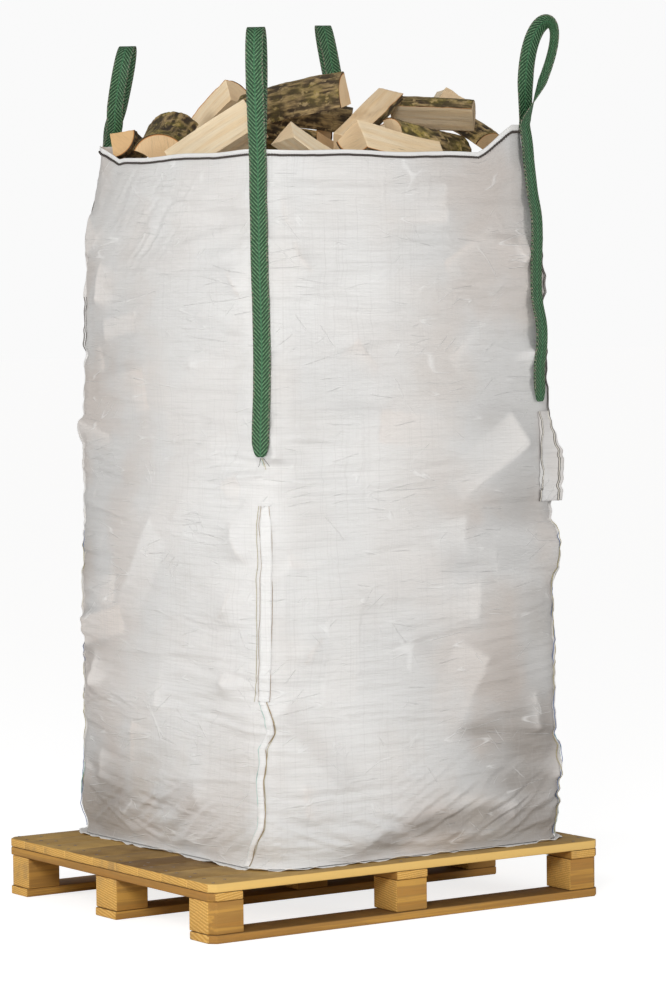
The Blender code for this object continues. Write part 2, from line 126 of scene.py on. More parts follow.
def place(piece, slot, *replaced):
    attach(piece, "root")
    if replaced:
        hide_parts(*replaced)
    return piece


def eased(t):
    return t * t * (3 - 2 * t)


def unit(vectors):
    return vectors / np.linalg.norm(vectors, axis=-1)[..., None]


def lengthAlong(path):
    return np.concatenate([[0], np.cumsum(np.linalg.norm(np.diff(path, axis=0), axis=1))])


def lumps(x, y, seed):
    # smooth noise from -1 to 1, about one lump to a unit
    size = 128
    table = np.random.default_rng(seed).uniform(-1, 1, (size, size))
    ix, iy = np.floor(x).astype(int), np.floor(y).astype(int)
    fx, fy = eased(x - ix), eased(y - iy)
    ix, iy, jx, jy = ix % size, iy % size, (ix + 1) % size, (iy + 1) % size
    low = table[ix, iy] * (1 - fx) + table[jx, iy] * fx
    high = table[ix, jy] * (1 - fx) + table[jx, jy] * fx
    return low * (1 - fy) + high * fy


class Wire:
    # an output socket; arithmetic on it adds the Math nodes
    def __init__(self, finish, socket):
        self.finish, self.socket = finish, socket

    def __add__(self, other):
        return self.finish.maths("ADD", self, other)

    def __sub__(self, other):
        return self.finish.maths("SUBTRACT", self, other)

    def __rsub__(self, other):
        return self.finish.maths("SUBTRACT", other, self)

    def __mul__(self, other):
        return self.finish.maths("MULTIPLY", self, other)

    __radd__, __rmul__ = __add__, __mul__

    def least(self, other):
        return self.finish.maths("MINIMUM", self, other)

    def size(self):
        return self.finish.maths("ABSOLUTE", self)

    def wrap(self, period):
        return self.finish.maths("FLOORED_MODULO", self, period)

    def sine(self):
        return self.finish.maths("SINE", self)

    def ramp(self, low, high, start=0.0, end=1.0):
        # eased from start at low to end at high
        inputs = {0: self, 1: low, 2: high, 3: start, 4: end}
        return self.finish.node("ShaderNodeMapRange", {"interpolation_type": "SMOOTHSTEP"}, inputs)


class Finish:
    def __init__(self, name, **constants):
        self.material = bpy.data.materials.new(name)
        self.material.use_nodes = True
        self.tree = self.material.node_tree
        self.shader = self.tree.nodes["Principled BSDF"]
        for socket, value in constants.items():
            self.shader.inputs[socket.replace("_", " ")].default_value = value

    def node(self, kind, settings=None, inputs=None, output=0):
        made = self.tree.nodes.new(kind)
        for key, value in (settings or {}).items():
            setattr(made, key, value)
        for key, value in (inputs or {}).items():
            if isinstance(value, Wire):
                self.tree.links.new(value.socket, made.inputs[key])
            elif isinstance(value, tuple) and len(value) == 3 and made.inputs[key].type == "RGBA":
                made.inputs[key].default_value = (*value, 1.0)
            else:
                made.inputs[key].default_value = value
        return Wire(self, made.outputs[output])

    def maths(self, operation, *values):
        return self.node("ShaderNodeMath", {"operation": operation}, dict(enumerate(values)))

    def length(self, vector):
        return self.node("ShaderNodeVectorMath", {"operation": "LENGTH"}, {0: vector}, output="Value")

    def cells(self, vector, feature):
        return self.node("ShaderNodeTexVoronoi", {"feature": feature}, {"Vector": vector, "Scale": 1.0})

    def uv(self):
        return self.node("ShaderNodeUVMap", {"uv_map": "UVMap"})

    def here(self):
        return self.node("ShaderNodeTexCoord", output="Object")

    def value(self, name):
        return self.node("ShaderNodeAttribute", {"attribute_name": name}, output="Fac")

    def parts(self, vector):
        first = self.node("ShaderNodeSeparateXYZ", {}, {0: vector})
        outputs = first.socket.node.outputs
        return [Wire(self, outputs[i]) for i in range(3)]

    def stretch(self, vector, scale=(1, 1, 1), turn=(0, 0, 0), move=(0, 0, 0)):
        inputs = {"Vector": vector, "Scale": scale, "Rotation": turn, "Location": move}
        return self.node("ShaderNodeMapping", {}, inputs)

    def noise(self, vector, scale=1.0, detail=3.0, roughness=0.5, distortion=0.0):
        inputs = {"Vector": vector, "Scale": scale, "Detail": detail}
        inputs |= {"Roughness": roughness, "Distortion": distortion}
        return self.node("ShaderNodeTexNoise", {}, inputs)

    def mix(self, share, first, second, blend="MIX"):
        return self.node(
            "ShaderNodeMix", {"data_type": "RGBA", "blend_type": blend},
            {0: share, 6: first, 7: second}, output=2,
        )

    def vector(self, x, y, z=0.0):
        return self.node("ShaderNodeCombineXYZ", {}, {0: x, 1: y, 2: z})

    def bump(self, height, strength, distance, under=None):
        inputs = {"Height": height, "Strength": strength, "Distance": distance}
        if under is not None:
            inputs["Normal"] = under
        return self.node("ShaderNodeBump", {}, inputs)

    def finish(self, colour=None, roughness=None, normal=None):
        for socket, wire in (("Base Color", colour), ("Roughness", roughness), ("Normal", normal)):
            if wire is not None:
                self.tree.links.new(wire.socket, self.shader.inputs[socket])
        return self.material


studio = {
    "cameraPlace": (-5.2904, -7.9214, 1.5562),
    "cameraTurn": (86.8626, 0.6067, -34.3226),  # degrees
    "lens": 131.69,
    "reach": 200,  # how far the camera sees
    # soft boxes: place, aim, size, power
    "lights": {
        "softKey": ((-3.2, -3.7, 2.5), (0.08, 0.04, 1.05), 1.4, 107.0),
        "softLeft": ((-5.0, 1.4, 2.0), (-0.3, 0.1, 0.8), 1.2, 68.0),
        "softRight": ((2.4, -5.2, 1.7), (0.2, -0.3, 0.8), 1.2, 64.0),
    },
    "surround": (0.375, 0.37, 0.365),
    "backdrop": 0.955,
    "floor": 0.80,
    "floorWide": 160,
    "floorGlow": 0.42,
}


def addForCamera(tree, share, plain, seen, output):
    # camera rays take this share of the seen shader; all other light keeps to the plain one
    path = tree.nodes.new("ShaderNodeLightPath")
    amount = tree.nodes.new("ShaderNodeMath")
    amount.operation = "MULTIPLY"
    amount.inputs[1].default_value = share
    both = tree.nodes.new("ShaderNodeMixShader")
    for start, end in (
        (path.outputs["Is Camera Ray"], amount.inputs[0]),
        (amount.outputs[0], both.inputs[0]),
        (plain.outputs[0], both.inputs[1]),
        (seen.outputs[0], both.inputs[2]),
        (both.outputs[0], output.inputs[0]),
    ):
        tree.links.new(start, end)


def makeStudio():
    scene = bpy.context.scene
    turn = [math.radians(a) for a in studio["cameraTurn"]]
    bpy.ops.object.camera_add(location=studio["cameraPlace"], rotation=turn)
    camera = bpy.context.object
    camera.name = "camera"
    camera.data.lens = studio["lens"]
    camera.data.clip_end = studio["reach"]
    scene.camera = camera

    for name, (spot, aim, size, power) in studio["lights"].items():
        turn = (Vector(aim) - Vector(spot)).to_track_quat("-Z", "Y").to_euler()
        bpy.ops.object.light_add(type="AREA", location=spot, rotation=turn)
        light = bpy.context.object
        light.name = name
        light.data.energy = power
        light.data.size = size

    world = bpy.data.worlds.new("studio")
    scene.world = world
    world.use_nodes = True
    tree = world.node_tree
    around = tree.nodes["Background"]
    around.inputs[0].default_value = (*studio["surround"], 1.0)
    seen = tree.nodes.new("ShaderNodeBackground")
    seen.inputs[0].default_value = (*[studio["backdrop"]] * 3, 1.0)
    addForCamera(tree, 1.0, around, seen, tree.nodes["World Output"])

    bpy.ops.mesh.primitive_plane_add(size=studio["floorWide"], location=(0, 0, -0.0005))
    floor = bpy.context.object
    floor.name = "studioFloor"
    paper = Finish("floorPaper", Roughness=0.9)
    grain = paper.noise(paper.here(), 900.0, 2.0)
    low, high = [(studio["floor"] * k,) * 3 for k in (0.985, 1.0)]
    floor.data.materials.append(paper.finish(paper.mix(grain, low, high)))
    # the paper looks lit from all round, and only a soft shadow darkens it
    tree, share = paper.tree, studio["floorGlow"]
    glow = tree.nodes.new("ShaderNodeEmission")
    # far off, where only the surround lights it, the floor ends as bright as the backdrop
    dim = (1 - share) * studio["floor"] * studio["surround"][1]
    glow.inputs[0].default_value = (*[(studio["backdrop"] - dim) / share] * 3, 1.0)
    addForCamera(tree, share, paper.shader, glow, tree.nodes["Material Output"])
    print("studio ready")


makeStudio()


pallet = {
    "arris": 0.0030,  # worn edges of the boards
    "nail": 0.0048,  # radius of a nail head
    "nailDepth": 0.0016,
    "nailEdge": 0.0005,
    "nailSunk": 0.0002,
    "nailAstray": (0.008, 0.006),  # along X and Y
    # three nails to a crossing: share of the board's width, aside
    "nailPlaces": ((0.20, -0.020), (0.52, 0.022), (0.82, -0.014)),
    "pale": (0.585, 0.305, 0.050),
    "warm": (0.430, 0.196, 0.027),
    "dark": (0.195, 0.085, 0.020),
    # also paints shade on the tops
    "weatheredShadedTop": (0.150, 0.078, 0.018),
    "soot": (0.085, 0.060, 0.040),
    # also paints the light on the deck boards' sides
    "litFreshCut": (0.98, 0.655, 0.205),
}


def pineFinish(name, grainTurn):
    # grainTurn lays the grain along X of the turned coordinates
    pine = Finish(name, Roughness=0.72)
    tone = pine.value("tone")
    x, y, z = pine.parts(pine.stretch(pine.here(), turn=grainTurn))
    shift = pine.vector(x + tone * 37.0, y + tone * 11.0, z + tone * 23.0)
    slow = pine.noise(pine.stretch(shift, (0.9, 9, 9)), 1.0, 3, 0.5)
    rings = pine.noise(pine.stretch(shift, (1.2, 42, 42)), 1.0, 4, 0.55, 0.35)
    fibre = pine.noise(pine.stretch(shift, (9, 420, 420)), 1.0, 3, 0.6)
    knot = pine.cells(pine.stretch(shift, (3.4, 10, 10)), "F1").ramp(0.06, 0.15, 1.0, 0.0)
    grain = (rings - 0.5) * 3.6 + 0.5 + (slow - 0.5) * 0.8
    wood = pine.mix(grain.ramp(0.0, 1.0), pallet["warm"], pallet["pale"])
    wood = pine.mix((grain * 3.1).sine().ramp(0.55, 1.0) * 0.34, wood, pallet["dark"])
    wood = pine.mix(fibre.ramp(0.52, 0.72) * 0.30, wood, pallet["dark"])
    wood = pine.mix(knot * 0.85, wood, (0.16, 0.070, 0.028))
    wood = pine.mix((tone - 0.5).size() * 0.8, wood, (0.52, 0.36, 0.20), "MULTIPLY")
    dirt = pine.noise(pine.stretch(pine.here(), move=(3, 1, 0)), 7.0, 7, 0.68)
    spots = pine.noise(pine.here(), 38.0, 4, 0.7)
    wood = pine.mix(dirt.ramp(0.53, 0.76) * 0.50, wood, (0.26, 0.165, 0.075))
    # the outer boards show a paler, fresher cut; the paleness is also painted light, brightening their
    # sides
    wood = pine.mix(pine.value("freshCutAndPaintedLight") * 0.75, wood, pallet["litFreshCut"])
    wood = pine.mix(spots.ramp(0.66, 0.76) * 0.6, wood, pallet["soot"])
    # what lies upwards has greyed and gathered dirt; the darker tops are also painted shade, as the
    # light falls more on the sides
    upward = pine.parts(pine.node("ShaderNodeTexCoord", output="Normal"))[2].ramp(0.4, 0.9)
    grey = dirt * 0.9 + (tone - 0.5) * 0.45 + 0.36
    wood = pine.mix(upward * grey, wood, pallet["weatheredShadedTop"])
    rough = fibre * 0.18 + 0.62
    relief = fibre * 0.35 + rings * 0.65 - knot * 0.3
    return pine.finish(wood, rough, pine.bump(relief, 0.45, 0.0016))


def boardEnds(piece, axis):
    # faces across the grain get the end-grain finish
    for face in piece.data.polygons:
        face.material_index = 1 if abs(face.normal[axis]) > 0.8 else 0


def endGrainFinish():
    ends = Finish("pineEnds", Roughness=0.85)
    tone = ends.value("tone")
    x, y, z = ends.parts(ends.here())
    # rings of the trunk seen end on, centred below or above each board
    across = ends.vector(x + y, z + tone * 0.05 + 0.03)
    radius = ends.length(ends.stretch(across, (2.4, 14, 1)))
    band = ((radius * 95.0) + ends.noise(ends.here(), 26.0, 3) * 4.0).sine()
    fleck = ends.noise(ends.here(), 420.0, 3, 0.65)
    patch = ends.noise(ends.here(), 9.0, 5, 0.65)
    wood = ends.mix(band.ramp(-0.7, 0.9), (0.66, 0.345, 0.068), (0.86, 0.530, 0.145))
    wood = ends.mix(fleck.ramp(0.42, 0.70) * 0.55, wood, (0.34, 0.180, 0.060))
    wood = ends.mix(patch.ramp(0.52, 0.78) * 0.6, wood, (0.24, 0.155, 0.085))
    return ends.finish(wood, None, ends.bump(fleck + band * 0.1, 0.5, 0.0016))


def nailFinish():
    steel = Finish("nailSteel", Metallic=0.8)
    rust = steel.noise(steel.here(), 260.0, 4)
    colour = steel.mix(rust.ramp(0.40, 0.62), (0.30, 0.28, 0.25), (0.17, 0.085, 0.045))
    return steel.finish(colour, rust * 0.4 + 0.35)


def makeBoards(draw):
    faceFinishes = (
        pineFinish("pineAlong", (0.0, 0.0, 0.0)),
        pineFinish("pineAcross", (0.0, 0.0, math.radians(90))),
    )
    endFinish = endGrainFinish()
    kinds = ("bottom_board", "block", "stringer", "deck_board")
    for name in sorted(n for n in nodes if n.startswith(kinds)):
        along = 1 if name.startswith("stringer") else 0
        mesh = nodes[name].data.copy()
        mesh.materials.clear()
        piece = newPiece("pine_" + name, mesh, faceFinishes[along])
        mesh.materials.append(endFinish)
        only(piece)
        bpy.ops.object.mode_set(mode="EDIT")
        bpy.ops.mesh.select_all(action="SELECT")
        bpy.ops.mesh.remove_doubles(threshold=0.00001)
        bpy.ops.mesh.dissolve_limited(angle_limit=math.radians(1))
        bpy.ops.object.mode_set(mode="OBJECT")
        # no two boards are worn alike
        edge = piece.modifiers.new("arris", "BEVEL")
        edge.width = pallet["arris"] * draw.uniform(0.7, 1.3)
        edge.segments = 2
        applyAll(piece)
        bpy.ops.object.shade_smooth_by_angle(angle=math.radians(32))
        boardEnds(piece, along)
        paintPoints(piece, "tone", draw.random())
        # fresh cut and painted light on the deck boards
        paintPoints(piece, "freshCutAndPaintedLight", 1.0 if name.startswith("deck") else 0.10)
        place(piece, "pallet_pine", name)


def makeNails(draw):
    bpy.ops.object.select_all(action="DESELECT")
    bpy.ops.mesh.primitive_cylinder_add(
        vertices=10, radius=pallet["nail"], depth=pallet["nailDepth"], location=(0, 0, 0)
    )
    heads = bpy.context.object
    heads.name = "nailHeads"
    bpy.ops.object.mode_set(mode="EDIT")
    bpy.ops.mesh.select_all(action="SELECT")
    bpy.ops.mesh.bevel(offset=pallet["nailEdge"], segments=1, affect="EDGES")
    bpy.ops.object.mode_set(mode="OBJECT")
    heads.data.materials.append(nailFinish())
    deck = [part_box(f"deck_board_{i + 1}") for i in range(9)]
    crossing = [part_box(f"stringer_{i + 1}") for i in range(3)]
    spots = []
    strayX, strayY = pallet["nailAstray"]
    for low, high in deck:
        for left, right in crossing:
            middle = (left.x + right.x) / 2
            for share, aside in pallet["nailPlaces"]:
                spots.append((
                    middle + aside + draw.uniform(-strayX, strayX),
                    low.y + (high.y - low.y) * share + draw.uniform(-strayY, strayY),
                    deck[0][1].z - pallet["nailSunk"],
                ))
    work = bmesh.new()
    for spot in spots:
        first = len(work.verts)
        work.from_mesh(heads.data)
        work.verts.ensure_lookup_table()
        turn = Matrix.Translation(spot) @ Matrix.Rotation(draw.uniform(-0.12, 0.12), 4, "X")
        bmesh.ops.transform(work, matrix=turn, verts=work.verts[first:])
    work.to_mesh(heads.data)
    work.free()
    place(heads, "pallet_pine")


palletDraw = random.Random(21)
makeBoards(palletDraw)
makeNails(palletDraw)
print("pallet ready")


bag = {
    "sides": ("Front", "Right", "Back", "Left"),  # and the corners between them, from the front one
    "middle": (0.08, 0.04),
    "bottom": 0.1496,
    "height": 1.776,
    # share of the height, half width, corner radius
    "profile": (
        (0.00, 0.476, 0.110),
        (0.04, 0.489, 0.115),
        (0.12, 0.484, 0.120),
        (0.30, 0.483, 0.120),
        (0.55, 0.478, 0.120),
        (0.80, 0.470, 0.120),
        (0.94, 0.462, 0.115),
        (1.00, 0.452, 0.095),
    ),
    # share of the height, how far the front seam runs off its corner in quarter turns
    "seam": ((0.0, -0.060), (0.10, -0.035), (0.30, -0.015), (0.70, -0.010), (1.0, -0.020)),
    # at each corner: how far the rim rises, and how far off the rise starts and is whole
    "rimLift": ((0.0, 0.20, 0.10), (0.074, 0.235, 0.118), (0.080, 0.105, 0.0), (0.040, 0.226, 0.100)),
    "riseFrom": 0.90,  # share of the height
    "rimTuck": (0.0, 0.066, 0.040, 0.078),  # at each corner: how far the rim is drawn in
    "tuckReach": 0.13,
    "tuckFrom": 0.88,
    "run": 0.89,  # from one corner to the next along the cloth
    "widest": 0.93,  # the same where the bag is widest
    "flatWidth": 0.94,  # the same with the seam allowance
    "tapeWidth": 0.0024,  # of the woven tapes
    "columns": 224,  # of each side
    "rows": 416,
}


def between(table, share):
    table = np.array(table)
    share = np.clip(np.asarray(share, float), 0.0, 1.0)
    row = np.clip(np.searchsorted(table[:, 0], share, side="left") - 1, 0, len(table) - 2)
    t = eased((share - table[row, 0]) / (table[row + 1, 0] - table[row, 0]))[..., None]
    return table[row, 1:] * (1 - t) + table[row + 1, 1:] * t


def seamTurn(corner, share):
    # where a corner's seam runs; the front one wanders
    share = np.asarray(share, float)
    return corner + (between(bag["seam"], share)[..., 0] if corner % 4 == 0 else 0.0 * share)


def shareOf(height):
    return (np.asarray(height) - bag["bottom"]) / bag["height"]


def offBy(turn, other):
    # from one place round the bag to another, in quarter turns, the short way
    return (turn - other + 2) % 4 - 2


def roundedSquare(turn, half, radius):
    # place and outward direction, turn counting quarter turns from the front corner
    side = np.floor(turn)
    straight, arc = 2 * (half - radius), math.pi * radius / 4
    run = (turn - side) * (straight + 2 * arc)
    bend = np.where(run < arc, run - arc, np.where(run > arc + straight, run - arc - straight, 0.0))
    angle = -math.pi / 2 + bend / radius
    reach = half - radius
    x = np.clip(run - arc - reach, -reach, reach) + radius * np.cos(angle)
    y = -reach + radius * np.sin(angle)
    c, s = np.cos(side * math.pi / 2), np.sin(side * math.pi / 2)
    nx, ny = np.cos(angle), np.sin(angle)
    return x * c - y * s, x * s + y * c, nx * c - ny * s, nx * s + ny * c


def clothPlace(turn, share, out):
    # a point of the bag, out metres outside its plain shape
    turn, share, out = np.broadcast_arrays(np.asarray(turn, float), share, out)
    half, radius = np.moveaxis(between(bag["profile"], share), -1, 0)
    x, y, nx, ny = roundedSquare(turn, half, radius)
    rise, tuck = np.zeros(turn.shape), np.zeros(turn.shape)
    for corner, (lift, begin, whole) in enumerate(bag["rimLift"]):
        away = np.abs(offBy(turn, corner)) * 2 * bag["profile"][-1][1]
        part = np.clip((begin - away) / (begin - whole), 0, 1)
        rise = np.maximum(rise, lift * (0.65 * part + 0.35 * eased(part)))
        near = np.maximum(0, 1 - away / bag["tuckReach"]) ** 1.3
        tuck = np.maximum(tuck, bag["rimTuck"][corner] * near)
    # the rim has a small dent and is never quite level
    dent = np.exp(-((offBy(turn, 3.245) / 0.02) ** 2))
    rise -= 0.003 * dent + 0.002 * np.sin(turn * 17.0)
    out = out - tuck * np.maximum(0, (share - bag["tuckFrom"]) / (1 - bag["tuckFrom"])) ** 1.5
    lifted = np.clip((share - bag["riseFrom"]) / (1 - bag["riseFrom"]), 0, None)
    z = bag["bottom"] + share * bag["height"] + rise * lifted
    middle = bag["middle"]
    return np.stack([x + nx * out + middle[0], y + ny * out + middle[1], z], axis=-1)


def outsideBy(point):
    # how far a point is outside the plain shape; negative inside
    half, radius = between(bag["profile"], shareOf(point[2]))
    dx = abs(point[0] - bag["middle"][0]) - (half - radius)
    dy = abs(point[1] - bag["middle"][1]) - (half - radius)
    return math.hypot(max(dx, 0), max(dy, 0)) + min(max(dx, dy), 0) - radius


wood = {
    "angles": {"half": 180, "third": 120, "quarter": 90, "sixth": 64},
    "arcStep": 20,  # degrees of bark to a side
    "wallTries": 2600,
    "wallRadius": (0.072, 0.122),
    "wallLength": (0.22, 0.27),
    "push": (-0.026, 0.019),  # how far the outermost logs press past the plain shape
    "pressedPush": 0.010,
    "wallTop": 0.955,  # share of the bag's height
    "seed": 5,
    # logs that print through the cloth: turn, height, slope, lean out and roll in degrees, length,
    # kind, radius
    "pressed": (
        (3.40, 0.870, 53, 3, 138, 0.26, "quarter", 0.105),
        (3.62, 0.560, -18, -8, 172, 0.25, "half", 0.085),
        (3.30, 1.330, 8, 8, 140, 0.25, "quarter", 0.110),
        (3.28, 1.560, -12, -7, 205, 0.25, "third", 0.095),
        (0.52, 0.930, 4, 10, -130, 0.26, "quarter", 0.115),
        (0.56, 0.790, -6, 9, -138, 0.25, "quarter", 0.100),
        (0.60, 0.560, 62, 5, 132, 0.25, "quarter", 0.115),
        (0.22, 0.690, 86, 2, 135, 0.26, "quarter", 0.100),
    ),
}


def barkSides(kind):
    return max(3, round(wood["angles"][kind] / wood["arcStep"]))


def logOutline(kind, radius):
    # points round a split log's end, bark upwards, about its middle
    span = wood["angles"][kind]
    steps = barkSides(kind)
    arc = [math.radians(90 - span / 2 + span * i / steps) for i in range(steps + 1)]
    points = [Vector((radius * math.cos(a), radius * math.sin(a))) for a in arc]
    if span < 180:
        points.append(Vector((0.0, 0.0)))
    area, middle = 0.0, Vector((0.0, 0.0))
    for p, q in zip(points, points[1:] + points[:1]):
        cross = p.x * q.y - q.x * p.y
        area += cross / 2
        middle += (p + q) * cross / 6
    middle /= area
    return [p - middle for p in points]


def plainLog(kind, radius, length):
    outline = logOutline(kind, radius)
    count = len(outline)
    points = [Vector((x, p.x, p.y)) for x in (-length / 2, length / 2) for p in outline]
    faces = [tuple(range(count)), tuple(range(2 * count - 1, count - 1, -1))]
    faces += [(i + count, (i + 1) % count + count, (i + 1) % count, i) for i in range(count)]
    skin = [2, 2] + [int(i < barkSides(kind)) for i in range(count)]  # 0 split, 1 bark, 2 sawn end
    return points, faces, skin


class Heap:
    # logs laid so far, as one surface
    def __init__(self):
        self.points, self.faces, self.skin, self.log = [], [], [], []
        self.tree = None

    def add(self, points, faces, skin):
        first, number = len(self.points), (self.log[-1] + 1 if self.log else 0)
        self.points += points
        self.faces += [tuple(i + first for i in face) for face in faces]
        self.skin += skin
        self.log += [number] * len(faces)
        self.tree = BVHTree.FromPolygons(self.points, self.faces)

    def clear(self, points, faces):
        return self.tree is None or not BVHTree.FromPolygons(points, faces).overlap(self.tree)


def againstCloth(turn, height, slope, lean, roll, length, kind, radius, push):
    # a log pressed against the cloth from inside
    share = shareOf(height)
    spot = Vector(clothPlace(turn, share, 0.0))
    half, corner = between(bag["profile"], share)
    nx, ny = roundedSquare(np.array(turn), half, corner)[2:]
    out, up = Vector((float(nx), float(ny), 0)), Vector((0, 0, 1))
    along = up.cross(out)
    slope, lean = math.radians(slope), math.radians(lean)
    axis = (along * math.cos(slope) + up * math.sin(slope)) * math.cos(lean) + out * math.sin(lean)
    side = out.cross(axis).normalized()
    turned = Matrix((axis, side, axis.cross(side))).transposed()
    turned = turned @ Matrix.Rotation(math.radians(roll), 3, "X")
    points, faces, skin = plainLog(kind, radius, length)
    points = [turned @ p + spot for p in points]
    for _ in range(3):
        over = max(outsideBy(p) for p in points) - push
        points = [p - out * over for p in points]
    return points, faces, skin


def rollFor(kind, draw):
    # mostly a split face or the bark lies against the cloth
    if draw.random() < 0.25:
        return draw.uniform(0, 360)
    if draw.random() < 0.35:
        return draw.uniform(-30, 30)
    flat = 180 - (90 - wood["angles"][kind] / 2)
    return draw.choice((flat, -flat)) + draw.gauss(0, 13)


def fillWalls():
    draw = random.Random(wood["seed"])
    heap = Heap()
    for *row, kind, radius in wood["pressed"]:
        log = againstCloth(*row, kind, radius, wood["pressedPush"])
        if heap.clear(*log[:2]):
            heap.add(*log)
    # then more and smaller ones wherever there is room, every third try at a corner
    low, high = bag["bottom"] + 0.01, bag["bottom"] + bag["height"] * wood["wallTop"]
    for number in range(wood["wallTries"]):
        atCorner = number % 3 == 0
        kind = draw.choice(("half", "third", "quarter", "quarter", "quarter", "sixth"))
        radius = draw.uniform(*wood["wallRadius"]) * (0.72 if kind == "half" else 1.0)
        shrink = 1.0 - 0.35 * number / wood["wallTries"]
        slope = draw.gauss(0, 16) if draw.random() < 0.6 else draw.uniform(-90, 90)
        corner = draw.randrange(4) + draw.gauss(0, 0.10)
        push = draw.uniform(*wood["push"]) * (0.35 if atCorner else 1.0)
        turn = corner if atCorner else draw.uniform(0, 4)
        height, lean = draw.uniform(low + 0.03, high), draw.uniform(-16, 16)
        roll, length = rollFor(kind, draw), draw.uniform(*wood["wallLength"]) * shrink
        log = againstCloth(turn, height, slope, lean, roll, length, kind, radius * shrink, push)
        heights = [p.z for p in log[0]]
        if min(heights) > low and max(heights) < high and heap.clear(*log[:2]):
            heap.add(*log)
    print("logs against the cloth:", heap.log[-1] + 1)
    return heap


